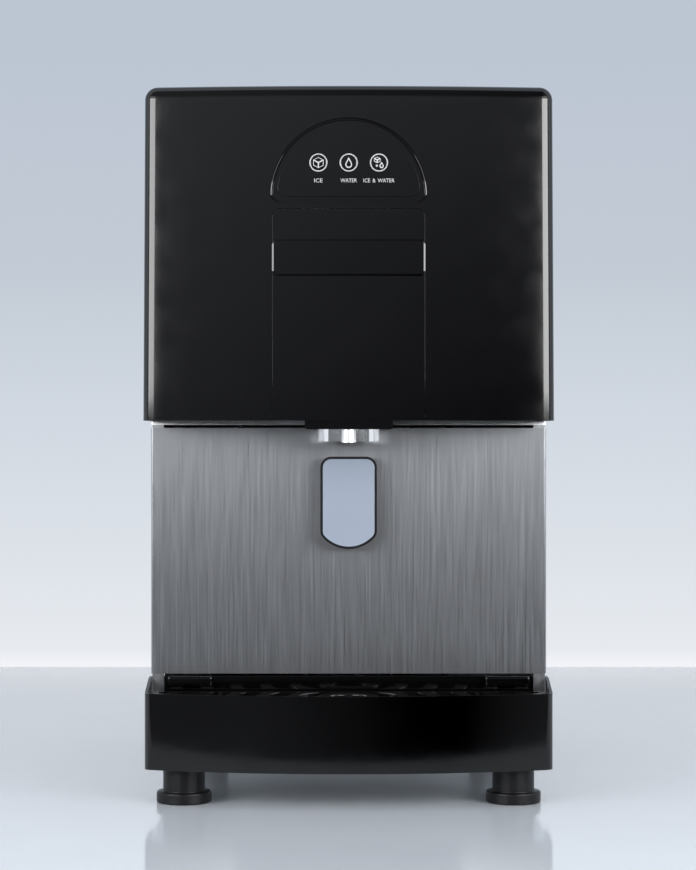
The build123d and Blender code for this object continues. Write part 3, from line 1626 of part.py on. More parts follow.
def make_screws():
    """Pan-head screws of the rear panel and the tray housing."""
    screws = []
    for x, z in rear_screw_places():
        head = rod_y(screw_head_radius, x, cabinet_rear_y, cabinet_rear_y + screw_head_height, z)
        screws.append(head + rod_y(screw_shank_radius, x, cabinet_rear_y - screw_shank_length,
                                   cabinet_rear_y, z))
    for x, y in tray_screw_places():
        head = rod_z(screw_head_radius, x, y, pan_z - pan_lift / 2, pan_z)
        screws.append(head + rod_z(screw_shank_radius, x, y, pan_z, pan_top_z + screw_shank_length))
    return Compound(children=screws)


def main():
    """Make every piece and write it."""
    os.makedirs("parts", exist_ok=True)
    right_side = make_side_panel()
    save("base_pan", make_base_pan())
    save("right_side_panel", right_side)
    save("left_side_panel", mirror(right_side, about=Plane.YZ))
    save("rear_panel", make_rear_panel())
    save("top_cover", make_top_cover())
    save("splash_panel", make_splash_panel())
    save("splash_rail", make_splash_rail())
    save("front_hood", make_front_hood())
    save("control_fascia", make_control_fascia())
    save("button_light_rings", make_light_rings())
    for name, (x, z) in zip(("ice_button", "water_button", "combined_button"), button_centres()):
        save(name, make_button(x, z))
    save("control_board", make_control_board())
    save("centre_panel", make_centre_panel())
    save("badge_plate", make_badge_plate())
    save("chute_lip", make_chute_lip())
    save("ice_chute", make_ice_chute())
    save("water_nozzle", make_water_nozzle())
    save("gate_housing", make_gate_housing())
    save("gate_flap", make_gate_flap())
    save("gate_actuator", make_gate_actuator())
    save("bin_deck", make_bin_deck())
    save("bin_shelf", make_bin_shelf())
    save("ice_bin", make_ice_bin())
    save("bin_lid", make_bin_lid())
    save("agitator", make_agitator())
    save("agitator_motor", make_agitator_motor())
    save("evaporator", make_evaporator())
    save("auger", make_auger())
    save("auger_motor", make_auger_motor())
    save("drive_stand", make_drive_stand())
    save("ice_transfer_tube", make_transfer_tube())
    save("compressor", make_compressor())
    save("condenser_coil", make_condenser())
    save("fan_shroud", make_fan_shroud())
    save("fan_blade", make_fan_blade())
    save("fan_motor", make_fan_motor())
    save("water_reservoir", make_reservoir())
    save("float_arm", make_float_arm())
    save("inlet_valve", make_inlet_valve())
    save("water_hoses", make_water_hoses())
    save("refrigerant_lines", make_refrigerant_lines())
    save("lever_body", make_lever_body())
    save("lever_pad", make_lever_pad())
    save("lever_bracket", make_lever_bracket())
    save("lever_pin", make_lever_pin())
    save("lever_switch", make_lever_switch())
    save("lever_spring", make_lever_spring())
    save("tray_housing", make_tray_housing())
    save("drip_pan", make_drip_pan())
    save("drip_grille", make_drip_grille())
    save("drain_pipe", make_drain_pipe())
    for name, (x, y) in foot_centres().items():
        save("foot_" + name, make_foot(x, y))
    save("power_inlet", make_power_inlet())
    save("power_supply", make_power_supply())
    save("cabinet_screws", make_screws())
    print("Overall height", round(hood_top_z, 2))


main()
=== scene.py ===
"""Looks of the countertop ice dispenser: finishes, fine shapes, studio and camera.

Lengths are in millimetres in the CAD model's own frame, and each mesh is scaled to metres
when its piece is finished. The CAD model is loaded first and is never moved.
"""

import json
import logging
import math
from dataclasses import dataclass, field
from enum import Enum

import bmesh
import bpy
from mathutils import Matrix, Vector

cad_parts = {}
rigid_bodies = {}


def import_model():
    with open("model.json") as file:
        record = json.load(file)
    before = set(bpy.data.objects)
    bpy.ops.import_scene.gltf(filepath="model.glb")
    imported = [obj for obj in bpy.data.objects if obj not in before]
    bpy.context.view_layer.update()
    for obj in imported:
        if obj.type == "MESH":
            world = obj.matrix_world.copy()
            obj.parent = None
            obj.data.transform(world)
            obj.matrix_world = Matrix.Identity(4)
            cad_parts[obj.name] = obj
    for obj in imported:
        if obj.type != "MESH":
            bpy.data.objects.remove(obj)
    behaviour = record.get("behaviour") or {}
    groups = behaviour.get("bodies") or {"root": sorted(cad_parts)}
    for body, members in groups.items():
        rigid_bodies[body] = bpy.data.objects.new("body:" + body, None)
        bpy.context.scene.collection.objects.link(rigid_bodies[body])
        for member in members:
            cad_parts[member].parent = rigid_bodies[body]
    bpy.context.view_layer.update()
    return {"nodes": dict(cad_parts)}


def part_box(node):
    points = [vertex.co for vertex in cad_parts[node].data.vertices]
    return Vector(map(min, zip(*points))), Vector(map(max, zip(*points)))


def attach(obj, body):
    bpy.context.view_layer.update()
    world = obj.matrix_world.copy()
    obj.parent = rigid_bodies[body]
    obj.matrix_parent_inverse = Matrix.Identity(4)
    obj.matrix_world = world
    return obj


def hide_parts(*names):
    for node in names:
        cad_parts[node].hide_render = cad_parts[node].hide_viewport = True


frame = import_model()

log = logging.getLogger("ice_dispenser")

Point = tuple[float, float]
Place = tuple[float, float, float]
Colour = tuple[float, float, float]

MILLIMETRE = 0.001
MERGE_DISTANCE = 1e-4
CIRCLE_STEPS = 48
ACROSS: Place = (1.0, 0.0, 0.0)
UPWARDS: Place = (0.0, 0.0, 1.0)


class Body(Enum):
    """Bodies of the CAD model that pieces ride on."""

    CABINET = "cabinet"
    LEVER = "push_lever"
    ICE_KEY = "ice_key"
    WATER_KEY = "water_key"
    COMBINED_KEY = "combined_key"
    FRONT_LEFT_FOOT = "front_left_foot"
    FRONT_RIGHT_FOOT = "front_right_foot"
    REAR_LEFT_FOOT = "rear_left_foot"
    REAR_RIGHT_FOOT = "rear_right_foot"


FEET = (Body.FRONT_LEFT_FOOT, Body.FRONT_RIGHT_FOOT, Body.REAR_LEFT_FOOT, Body.REAR_RIGHT_FOOT)


class Grain(Enum):
    """Direction that a brushed or drawn surface is worked in, as noise stretch on X, Y and Z."""

    UPRIGHT = (1.0, 1.0, 0.007)
    FRONT_TO_BACK = (1.0, 0.007, 1.0)
    POLISHED = (1.0, 1.0, 0.05)
    NONE = (1.0, 1.0, 1.0)


class NodeGraph:
    """A material's node tree, with short calls for the nodes that the finishes share."""

    # Places of the Mix node's colour sockets, whose names it uses more than once.
    first_colour = 6
    second_colour = 7
    mixed_colour = 2

    def __init__(self, name: str) -> None:
        """Make an empty material with one Principled shader.

        Args:
            name: the material's name.
        """
        self.material = bpy.data.materials.new(name)
        self.material.use_nodes = True
        self.nodes = self.material.node_tree.nodes
        self.links = self.material.node_tree.links
        self.shader = self.nodes["Principled BSDF"]

    def add(self, kind: str, **settings: object) -> bpy.types.Node:
        """Add a node and set its properties.

        Args:
            kind: the node's type name.
            settings: properties to set on it.

        Returns:
            The new node.
        """
        node = self.nodes.new(kind)
        for key, value in settings.items():
            setattr(node, key, value)
        return node

    def feed(self, node: bpy.types.Node, **values: object) -> bpy.types.Node:
        """Fill a node's inputs by name, from a number, a colour or another node's socket.

        Args:
            node: the node to fill.
            values: input names with underscores for spaces, and what goes in.

        Returns:
            The same node.
        """
        for key, value in values.items():
            socket = node.inputs[key.replace("_", " ")]
            if isinstance(value, bpy.types.NodeSocket):
                self.links.new(value, socket)
            else:
                socket.default_value = value
        return node

    def place(self, stretch: Place = Grain.NONE.value) -> bpy.types.NodeSocket:
        """Object coordinates, stretched along the grain.

        Args:
            stretch: share of the pattern's scale along X, Y and Z.

        Returns:
            The vector socket.
        """
        coordinates = self.add("ShaderNodeTexCoord")
        mapping = self.add("ShaderNodeMapping")
        self.feed(mapping, Vector=coordinates.outputs["Object"], Scale=stretch)
        return mapping.outputs["Vector"]

    def noise(self, where: bpy.types.NodeSocket, scale: float, detail: float,
              rough: float = 0.5) -> bpy.types.NodeSocket:
        """A noise value from 0 to 1.

        Args:
            where: the coordinates to read.
            scale: how fine the noise is, in cells per metre.
            detail: octaves of finer noise.
            rough: strength of the finer octaves.

        Returns:
            The value socket.
        """
        node = self.add("ShaderNodeTexNoise")
        self.feed(node, Vector=where, Scale=scale, Detail=detail, Roughness=rough)
        return node.outputs["Fac"]

    def spread(self, value: bpy.types.NodeSocket, low: float, high: float,
               start: float = 0.3, end: float = 0.7) -> bpy.types.NodeSocket:
        """Map a value from one range to another, held at the ends.

        Args:
            value: what to map.
            low: result at the start.
            high: result at the end.
            start: input that gives the low result.
            end: input that gives the high result.

        Returns:
            The mapped value socket.
        """
        node = self.add("ShaderNodeMapRange", clamp=True)
        self.feed(node, From_Min=start, From_Max=end, To_Min=low, To_Max=high, Value=value)
        return node.outputs["Result"]

    def blend(self, share: bpy.types.NodeSocket, first: Colour,
              second: Colour) -> bpy.types.NodeSocket:
        """Mix two colours by a value.

        Args:
            share: share of the second colour.
            first: colour where the share is 0.
            second: colour where the share is 1.

        Returns:
            The colour socket.
        """
        node = self.add("ShaderNodeMix", data_type="RGBA")
        self.links.new(share, node.inputs["Factor"])
        node.inputs[self.first_colour].default_value = (*first, 1.0)
        node.inputs[self.second_colour].default_value = (*second, 1.0)
        return node.outputs[self.mixed_colour]

    def tones(self, share: bpy.types.NodeSocket, colour: Colour, first: float,
              second: float) -> bpy.types.NodeSocket:
        """Mix two tones of one colour, given as shares of its brightness, by a value."""
        return self.blend(share, shade(colour, first), shade(colour, second))

    def vary(self, value: bpy.types.NodeSocket, middle: float, low: float, high: float,
             start: float = 0.3, end: float = 0.7) -> bpy.types.NodeSocket:
        """Map a value to a range that is given as two shares of its middle."""
        return self.spread(value, middle * low, middle * high, start, end)

    def bump(self, height: bpy.types.NodeSocket, strength: float, depth_mm: float) -> None:
        """Give the shader a bump normal.

        Args:
            height: the height value.
            strength: how strongly it shows, from 0 to 1.
            depth_mm: depth of the full height in millimetres.
        """
        node = self.add("ShaderNodeBump")
        self.feed(node, Strength=strength, Distance=depth_mm * MILLIMETRE, Height=height)
        self.feed(self.shader, Normal=node.outputs["Normal"])


def shade(colour: Colour, share: float) -> Colour:
    """A colour made darker or lighter by a share."""
    return tuple(min(1.0, part * share) for part in colour)


@dataclass(frozen=True)
class GlossPlastic:
    """Polished moulded plastic with a faint orange peel and handling haze."""

    name: str
    colour: Colour
    roughness: float = 0.1
    peel: float = 0.03
    tint: float = 1.5

    def build(self) -> bpy.types.Material:
        """Build the material.

        Returns:
            The material.
        """
        graph = NodeGraph(self.name)
        where = graph.place()
        cloud = graph.noise(where, scale=9.0, detail=3.0)
        colour = graph.tones(cloud, self.colour, first=1 / self.tint, second=self.tint)
        haze = graph.vary(graph.noise(where, scale=40.0, detail=5.0), self.roughness, low=0.8, high=1.3)
        graph.feed(graph.shader, Base_Color=colour, Roughness=haze, IOR=1.5)
        graph.bump(graph.noise(where, scale=260.0, detail=2.0), strength=self.peel, depth_mm=0.4)
        return graph.material


@dataclass(frozen=True)
class SatinPlastic:
    """Moulded plastic with a fine spark-eroded texture."""

    name: str
    colour: Colour
    roughness: float = 0.45
    texture_scale: float = 1500.0
    texture: float = 0.25
    cloud: float = 0.1
    specular: float = 0.5

    def build(self) -> bpy.types.Material:
        """Build the material.

        Returns:
            The material.
        """
        graph = NodeGraph(self.name)
        where = graph.place()
        cloud = graph.noise(where, scale=11.0, detail=1.5)
        colour = graph.tones(cloud, self.colour, first=1 - self.cloud, second=1 + self.cloud)
        streaks = graph.noise(where, scale=60.0, detail=4.0)
        sheen = graph.vary(streaks, self.roughness, low=0.9, high=1.15)
        graph.feed(graph.shader, Base_Color=colour, Roughness=sheen, IOR=1.48,
                   Specular_IOR_Level=self.specular)
        sparks = graph.noise(where, scale=self.texture_scale, detail=3.0, rough=0.6)
        graph.bump(sparks, strength=self.texture, depth_mm=0.15)
        return graph.material


@dataclass(frozen=True)
class BrushedMetal:
    """Stainless sheet with a directional grain of long fine scratches."""

    name: str
    colour: Colour
    grain: Grain
    roughness: float = 0.3
    anisotropy: float = 0.7
    contrast: float = 0.2
    scratch_scale: float = 1500.0
    band_scale: float = 3600.0
    scratch_share: float = 0.75
    dark_end: float = 0.25
    light_end: float = 0.75

    def build(self) -> bpy.types.Material:
        """Build the material.

        Returns:
            The material.
        """
        graph = NodeGraph(self.name)
        where = graph.place(self.grain.value)
        scratches = graph.noise(where, scale=self.scratch_scale, detail=3.0, rough=0.75)
        bands = graph.noise(where, scale=self.band_scale, detail=1.0)
        both = graph.add("ShaderNodeMath", operation="MULTIPLY_ADD")
        graph.links.new(scratches, both.inputs[0])
        both.inputs[1].default_value = self.scratch_share
        rest = graph.spread(bands, low=0.0, high=1 - self.scratch_share, start=0.2, end=0.8)
        graph.links.new(rest, both.inputs[2])
        lines = both.outputs[0]
        share = graph.spread(lines, low=0.0, high=1.0, start=self.dark_end, end=self.light_end)
        colour = graph.tones(share, self.colour, first=1 - self.contrast, second=1 + self.contrast)
        rough = graph.vary(lines, self.roughness, low=0.8, high=1.25, start=self.dark_end,
                           end=self.light_end)
        graph.feed(graph.shader, Base_Color=colour, Roughness=rough, Metallic=1.0,
                   Anisotropic=self.anisotropy)
        if self.grain is Grain.UPRIGHT:
            tangent = graph.add("ShaderNodeTangent", direction_type="RADIAL", axis="Z")
            graph.feed(graph.shader, Tangent=tangent.outputs["Tangent"])
        graph.bump(lines, strength=0.12, depth_mm=0.05)
        return graph.material


@dataclass(frozen=True)
class PolishedMetal:
    """Bright metal with faint polishing marks."""

    name: str
    colour: Colour
    roughness: float = 0.08
    marks: float = 0.04

    def build(self) -> bpy.types.Material:
        """Build the material.

        Returns:
            The material.
        """
        graph = NodeGraph(self.name)
        where = graph.place(Grain.POLISHED.value)
        marks = graph.noise(where, scale=900.0, detail=3.0)
        colour = graph.tones(marks, self.colour, first=0.92, second=1.06)
        rough = graph.vary(marks, self.roughness, low=0.7, high=1.5)
        graph.feed(graph.shader, Base_Color=colour, Roughness=rough, Metallic=1.0)
        graph.bump(marks, strength=self.marks, depth_mm=0.05)
        return graph.material


@dataclass(frozen=True)
class PlatedSteel:
    """Zinc-coated sheet with its crystal spangle."""

    name: str
    colour: Colour
    roughness: float = 0.38
    spangle_scale: float = 90.0

    def build(self) -> bpy.types.Material:
        """Build the material.

        Returns:
            The material.
        """
        graph = NodeGraph(self.name)
        where = graph.place()
        cells = graph.add("ShaderNodeTexVoronoi", feature="F1")
        graph.feed(cells, Vector=where, Scale=self.spangle_scale)
        tone = graph.add("ShaderNodeSeparateColor")
        graph.links.new(cells.outputs["Color"], tone.inputs["Color"])
        flake = tone.outputs["Red"]
        colour = graph.tones(flake, self.colour, first=0.86, second=1.12)
        rough = graph.vary(flake, self.roughness, low=0.8, high=1.25, start=0.0, end=1.0)
        graph.feed(graph.shader, Base_Color=colour, Roughness=rough, Metallic=0.9)
        graph.bump(graph.noise(where, scale=700.0, detail=3.0), strength=0.08, depth_mm=0.08)
        return graph.material


@dataclass(frozen=True)
class CastMetal:
    """Cast or painted housing with a pebbled skin."""

    name: str
    colour: Colour
    roughness: float = 0.5
    metallic: float = 0.85
    pebble: float = 0.3

    def build(self) -> bpy.types.Material:
        """Build the material.

        Returns:
            The material.
        """
        graph = NodeGraph(self.name)
        where = graph.place()
        cloud = graph.noise(where, scale=30.0, detail=5.0)
        colour = graph.tones(cloud, self.colour, first=0.82, second=1.18)
        rough = graph.vary(cloud, self.roughness, low=0.85, high=1.2)
        graph.feed(graph.shader, Base_Color=colour, Roughness=rough, Metallic=self.metallic)
        pebbles = graph.noise(where, scale=800.0, detail=4.0, rough=0.65)
        graph.bump(pebbles, strength=self.pebble, depth_mm=0.25)
        return graph.material


@dataclass(frozen=True)
class CellFoam:
    """Skinned closed-cell foam round a cold part."""

    name: str
    colour: Colour
    cell_scale: float = 420.0

    def build(self) -> bpy.types.Material:
        """Build the material.

        Returns:
            The material.
        """
        graph = NodeGraph(self.name)
        where = graph.place()
        cells = graph.add("ShaderNodeTexVoronoi", feature="F1")
        graph.feed(cells, Vector=where, Scale=self.cell_scale)
        depth = cells.outputs["Distance"]
        share = graph.spread(depth, low=0.0, high=1.0, start=0.0, end=0.7)
        colour = graph.tones(share, self.colour, first=1.3, second=0.7)
        graph.feed(graph.shader, Base_Color=colour, Roughness=0.85)
        graph.bump(depth, strength=0.5, depth_mm=0.5)
        return graph.material


@dataclass(frozen=True)
class BoardLacquer:
    """Circuit board lacquer with faint tracks under it."""

    name: str
    colour: Colour
    track_scale: float = 240.0

    def build(self) -> bpy.types.Material:
        """Build the material.

        Returns:
            The material.
        """
        graph = NodeGraph(self.name)
        where = graph.place()
        tracks = graph.add("ShaderNodeTexBrick", offset=0.3, squash=0.6)
        graph.feed(tracks, Vector=where, Scale=self.track_scale, Mortar_Size=0.02)
        colour = graph.tones(tracks.outputs["Fac"], self.colour, first=0.8, second=1.6)
        graph.feed(graph.shader, Base_Color=colour, Roughness=0.35)
        graph.bump(tracks.outputs["Fac"], strength=0.2, depth_mm=0.1)
        return graph.material


@dataclass(frozen=True)
class LightGuide:
    """White translucent plastic that carries the key lights; the print finish uses it as well, and
    there its glow is painted brightness on ink that is no lamp.
    """

    name: str
    colour: Colour
    glow: float = 0.35

    def build(self) -> bpy.types.Material:
        """Build the material.

        Returns:
            The material.
        """
        graph = NodeGraph(self.name)
        where = graph.place()
        cloud = graph.noise(where, scale=700.0, detail=3.0)
        colour = graph.tones(cloud, self.colour, first=0.94, second=1.0)
        graph.feed(graph.shader, Base_Color=colour, Roughness=0.35, Emission_Color=colour,
                   Emission_Strength=self.glow)
        graph.bump(cloud, strength=0.05, depth_mm=0.05)
        return graph.material


class FinishBook:
    """Every finish of the dispenser, each built once."""

    def __init__(self) -> None:
        """Build the materials."""
        recipes = {
            "hood": GlossPlastic("hood_gloss", (0.0017, 0.0017, 0.0021), roughness=0.085, peel=0.006),
            "panel": GlossPlastic("panel_gloss", (0.0017, 0.0017, 0.0021), roughness=0.075, peel=0.006),
            "plate": GlossPlastic("plate_gloss", (0.0012, 0.0012, 0.0015), roughness=0.07, peel=0.005),
            "tray": GlossPlastic("tray_gloss", (0.0009, 0.0009, 0.001), roughness=0.085, peel=0.008),
            "grille": GlossPlastic("grille_gloss", (0.002, 0.002, 0.0022), roughness=0.13, peel=0.03),
            "key": GlossPlastic("key_gloss", (0.002, 0.002, 0.0025), roughness=0.1, peel=0.01),
            "lever_body": SatinPlastic("lever_black", (0.008, 0.008, 0.009),
                                       roughness=0.3, texture_scale=1200.0, texture=0.1),
            "lever_pad": SatinPlastic("lever_pale", (0.24, 0.277, 0.338),
                                      roughness=0.17, texture_scale=900.0, texture=0.02, cloud=0.01),
            "foot": SatinPlastic("foot_black", (0.004, 0.004, 0.0046),
                                 roughness=0.36, texture_scale=1400.0, texture=0.12, cloud=0.1,
                                 specular=0.25),
            "pan": SatinPlastic("pan_black", (0.012, 0.012, 0.013),
                                roughness=0.5, texture_scale=1200.0, texture=0.3),
            "bin": SatinPlastic("bin_white", (0.78, 0.81, 0.84),
                                roughness=0.5, texture_scale=900.0, texture=0.12),
            "duct": SatinPlastic("duct_grey", (0.28, 0.29, 0.31),
                                 roughness=0.5, texture_scale=900.0, texture=0.15),
            "fan": SatinPlastic("fan_black", (0.03, 0.03, 0.033),
                                roughness=0.45, texture_scale=1200.0, texture=0.2),
            "hose": SatinPlastic("hose_white", (0.7, 0.73, 0.76),
                                 roughness=0.3, texture_scale=300.0, texture=0.05),
            "splash": BrushedMetal("splash_steel", (0.3, 0.311, 0.33), Grain.UPRIGHT,
                                   roughness=0.34, anisotropy=0.6, contrast=0.09),
            # The cabinet steel is darkened, partly towards the splash panel's steel and partly as
            # painted shade on the posts that stand in the tray's shade.
            "cabinet": BrushedMetal("cabinet_steel", (0.38, 0.388, 0.405), Grain.UPRIGHT,
                                    roughness=0.36, anisotropy=0.6, contrast=0.12),
            "cover": BrushedMetal("cover_steel", (0.34, 0.348, 0.362), Grain.FRONT_TO_BACK,
                                  roughness=0.38, anisotropy=0.0, contrast=0.12),
            "screw": BrushedMetal("screw_steel", (0.6, 0.6, 0.62), Grain.NONE,
                                  roughness=0.3, anisotropy=0.0, contrast=0.15),
            "fin": BrushedMetal("fin_aluminium", (0.74, 0.75, 0.77), Grain.UPRIGHT,
                                roughness=0.35, anisotropy=0.4, contrast=0.1),
            "spout": PolishedMetal("polished_steel", (0.86, 0.87, 0.88), roughness=0.045, marks=0.01),
            "nozzle": PolishedMetal("nozzle_steel", (0.95, 0.955, 0.96), roughness=0.34, marks=0.1),
            # The rail strip's steel is much lighter than the splash panel's same stainless: painted
            # light where the hood's overhang shades the strip.
            "rail": BrushedMetal("rail_steel", (0.8, 0.81, 0.83), Grain.UPRIGHT,
                                 roughness=0.4, anisotropy=0.6, contrast=0.15),
            "zinc": PlatedSteel("zinc_steel", (0.55, 0.57, 0.58)),
            "motor": CastMetal("motor_grey", (0.42, 0.43, 0.45), roughness=0.42),
            "shell": CastMetal("shell_black", (0.02, 0.02, 0.021),
                               roughness=0.3, metallic=0.1, pebble=0.08),
            "foam": CellFoam("foam_black", (0.03, 0.03, 0.032)),
            "board": BoardLacquer("board_green", (0.03, 0.16, 0.07)),
            "copper": PolishedMetal("drawn_copper", (0.78, 0.42, 0.26), roughness=0.22, marks=0.1),
            "light": LightGuide("light_white", (0.4, 0.41, 0.42), glow=0.08),
            # The printed marks and words glow a little: painted brightness, since print is no lamp,
            # while the rings above are real key lights.
            "print": LightGuide("print_white", (0.42, 0.43, 0.44), glow=0.1),
        }
        self.materials = {key: recipe.build() for key, recipe in recipes.items()}

    def __getitem__(self, key: str) -> bpy.types.Material:
        """The material of a finish's short name."""
        return self.materials[key]


def node_box(node: str) -> tuple[Vector, Vector]:
    """Lowest and highest corner of a CAD node, in millimetres."""
    low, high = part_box(node)
    return low / MILLIMETRE, high / MILLIMETRE


def arc_points(centre: Point, radius: float, start: float, end: float, steps: int) -> list[Point]:
    """Points along an arc between two angles in degrees, both ends among them."""
    angles = [math.radians(start + (end - start) * i / steps) for i in range(steps + 1)]
    return [(centre[0] + radius * math.cos(a), centre[1] + radius * math.sin(a)) for a in angles]


def rounded_rectangle(half_width: float, low: float, high: float, low_corner: float,
                      high_corner: float, steps: int = 8) -> list[Point]:
    """Outline of an upright rectangle with rounded corners, from its lower right corner.

    Args:
        half_width: half of its width.
        low: its lower edge.
        high: its upper edge.
        low_corner: radius of both lower corners, or 0.
        high_corner: radius of both upper corners, or 0.
        steps: runs in each corner.

    Returns:
        The outline's points.
    """
    loop: list[Point] = []
    corners = ((1, low, low_corner, -90), (1, high, high_corner, 0),
               (-1, high, high_corner, 90), (-1, low, low_corner, 180))
    for side, level, radius, start in corners:
        if radius <= 0:
            loop.append((side * half_width, level))
            continue
        inward = 1 if level == low else -1
        centre = (side * (half_width - radius), level + inward * radius)
        loop += arc_points(centre, radius, start, start + 90, steps)
    return loop


def circle(centre: Point, radius: float) -> list[Point]:
    """Points round a circle, without a doubled end."""
    return arc_points(centre, radius, 0, 360, CIRCLE_STEPS)[:-1]


def strips(half_width: float, step: float) -> list[float]:
    """Evenly spaced places both ways from the middle, where a sheet is cut."""
    count = round(half_width / step)
    return [step * i for i in range(-count, count + 1)]


@dataclass(frozen=True)
class Bow:
    """Plan outline with a bowed front between two rounded corners and straight sides.

    A place on it is its distance along the wall from the middle of the front.
    """

    half_width: float
    front: float
    rear: float
    radius: float
    corner: float

    @property
    def turn(self) -> float:
        """Angle at which the bow meets its corner, in radians."""
        return math.asin((self.half_width - self.corner) / (self.radius - self.corner))

    @property
    def bow_length(self) -> float:
        """Length of half of the bow."""
        return self.radius * self.turn

    @property
    def corner_length(self) -> float:
        """Length of one corner's arc."""
        return self.corner * (math.pi / 2 - self.turn)

    @property
    def corner_centre_y(self) -> float:
        """Y of both corners' centres.

        Returns:
            Y in millimetres.
        """
        reach = self.radius - self.corner
        across = self.half_width - self.corner
        return self.front + self.radius - math.sqrt(reach**2 - across**2)

    @property
    def length(self) -> float:
        """Length of half of the outline."""
        return self.bow_length + self.corner_length + self.rear - self.corner_centre_y

    def along(self, x: float) -> float:
        """Distance along the bow of an offset from the middle."""
        return self.radius * math.asin(x / self.radius)

    def point(self, along: float, inset: float) -> Point:
        """X and Y of a place, moved inwards by an inset.

        Args:
            along: distance from the middle of the front.
            inset: distance inwards from the outline.

        Returns:
            X and Y.
        """
        side = -1.0 if along < 0 else 1.0
        run = abs(along)
        if run <= self.bow_length:
            angle = run / self.radius
            reach = self.radius - inset
            return side * reach * math.sin(angle), self.front + self.radius - reach * math.cos(angle)
        run -= self.bow_length
        if run <= self.corner_length:
            angle = self.turn + run / self.corner
            reach = self.corner - inset
            x = self.half_width - self.corner + reach * math.sin(angle)
            return side * x, self.corner_centre_y - reach * math.cos(angle)
        run -= self.corner_length
        return side * (self.half_width - inset), self.corner_centre_y + run

    def cuts(self, bow_step: float, corner_steps: int) -> list[float]:
        """Places where a flat sheet is cut so that it can follow the outline.

        Args:
            bow_step: longest run along the bow.
            corner_steps: runs round each corner.

        Returns:
            Distances along the outline, both ways from the middle.
        """
        count = math.ceil(self.bow_length / bow_step)
        places = [self.bow_length * i / count for i in range(count + 1)]
        places += [self.bow_length + self.corner_length * i / corner_steps
                   for i in range(1, corner_steps + 1)]
        return [-p for p in reversed(places[1:])] + places

    def loop(self, inset: float, bow_step: float, corner_steps: int) -> list[Point]:
        """X and Y of the outline's points at an inset, from the left rear end to the right one."""
        ends = [-self.length, *self.cuts(bow_step, corner_steps), self.length]
        return [self.point(place, inset) for place in ends]


def move(bm: bmesh.types.BMesh, x: float = 0.0, y: float = 0.0, z: float = 0.0) -> None:
    """Move a whole mesh."""
    bmesh.ops.translate(bm, verts=bm.verts[:], vec=(x, y, z))


def extrude_back(bm: bmesh.types.BMesh, depth: float) -> None:
    """Give a flat mesh in X and Z its thickness, towards the rear.

    Args:
        bm: the flat mesh.
        depth: the thickness.
    """
    made = bmesh.ops.extrude_face_region(bm, geom=bm.faces[:])
    moved = [g for g in made["geom"] if isinstance(g, bmesh.types.BMVert)]
    bmesh.ops.translate(bm, verts=moved, vec=(0.0, depth, 0.0))


def wrap(bm: bmesh.types.BMesh, bow: Bow, depth: float) -> None:
    """Bend a flat mesh round a bow.

    Args:
        bm: the mesh, with its front at Y 0.
        bow: the outline to follow.
        depth: how far under the outline its front comes to lie.
    """
    for vert in bm.verts:
        x, y = bow.point(bow.along(vert.co.x), vert.co.y + depth)
        vert.co = (x, y, vert.co.z)


def lay_flat(bm: bmesh.types.BMesh, level: float) -> None:
    """Lay a plate that stands in X and Z down in X and Y.

    Args:
        bm: the mesh, with its front at Y 0.
        level: Z of the plate's underside.
    """
    for vert in bm.verts:
        vert.co = (vert.co.x, vert.co.z, level + vert.co.y)


class Sheet:
    """A bmesh that starts flat, as a plate in X and Z with its front at Y 0, and is then bent."""

    # Depth up to which an edge is on the front, and angle in radians over which it is a corner.
    front_depth = 1e-6
    corner_angle = 1.0

    def __init__(self, outline: list[Point], holes: tuple[list[Point], ...] = ()) -> None:
        """Fill an outline with its holes left open.

        Args:
            outline: outer points in X and Z.
            holes: inner outlines.
        """
        self.bm = bmesh.new()
        for loop in (outline, *holes):
            corners = [self.bm.verts.new((x, 0.0, z)) for x, z in loop]
            for first, second in zip(corners, corners[1:] + corners[:1]):
                self.bm.edges.new((first, second))
        bmesh.ops.triangle_fill(self.bm, edges=self.bm.edges[:], use_beauty=True,
                                use_dissolve=False, normal=(0.0, -1.0, 0.0))

    def thicken(self, depth: float, front_bevel: float = 0.0, segments: int = 3) -> "Sheet":
        """Extrude the flat sheet back and round its front edges.

        Args:
            depth: thickness of the plate.
            front_bevel: radius of the front's edges, or 0.
            segments: runs of the rounding.

        Returns:
            This sheet.
        """
        extrude_back(self.bm, depth)
        bmesh.ops.recalc_face_normals(self.bm, faces=self.bm.faces[:])
        if front_bevel > 0:
            rim = [e for e in self.bm.edges
                   if max(abs(v.co.y) for v in e.verts) < self.front_depth
                   and len(e.link_faces) == 2 and e.calc_face_angle(0.0) > self.corner_angle]
            bmesh.ops.bevel(self.bm, geom=rim, offset=front_bevel, segments=segments, profile=0.5,
                            affect="EDGES", material=-1, clamp_overlap=True)
        return self

    def cut(self, places: list[float], axis: Place = ACROSS) -> "Sheet":
        """Slice the sheet so that it can bend at each cut.

        Args:
            places: how far along the axis each cut lies.
            axis: the direction that the cuts are square to.

        Returns:
            This sheet.
        """
        for place in places:
            geometry = self.bm.verts[:] + self.bm.edges[:] + self.bm.faces[:]
            bmesh.ops.bisect_plane(self.bm, geom=geometry, dist=MERGE_DISTANCE,
                                   plane_co=[place * part for part in axis], plane_no=axis)
        return self

    def wrap(self, bow: Bow, depth: float = 0.0) -> "Sheet":
        """Bend the flat plate round a bow, with its front at a depth under the outline."""
        wrap(self.bm, bow, depth)
        return self


def dense(points: list[Point], step: float) -> list[Point]:
    """A closed outline with its long runs split.

    Args:
        points: the outline.
        step: longest run that is left.

    Returns:
        The outline with more points.
    """
    result: list[Point] = []
    for (x0, z0), (x1, z1) in zip(points, points[1:] + points[:1]):
        count = max(1, math.ceil(math.hypot(x1 - x0, z1 - z0) / step))
        result += [(x0 + (x1 - x0) * i / count, z0 + (z1 - z0) * i / count) for i in range(count)]
    return result


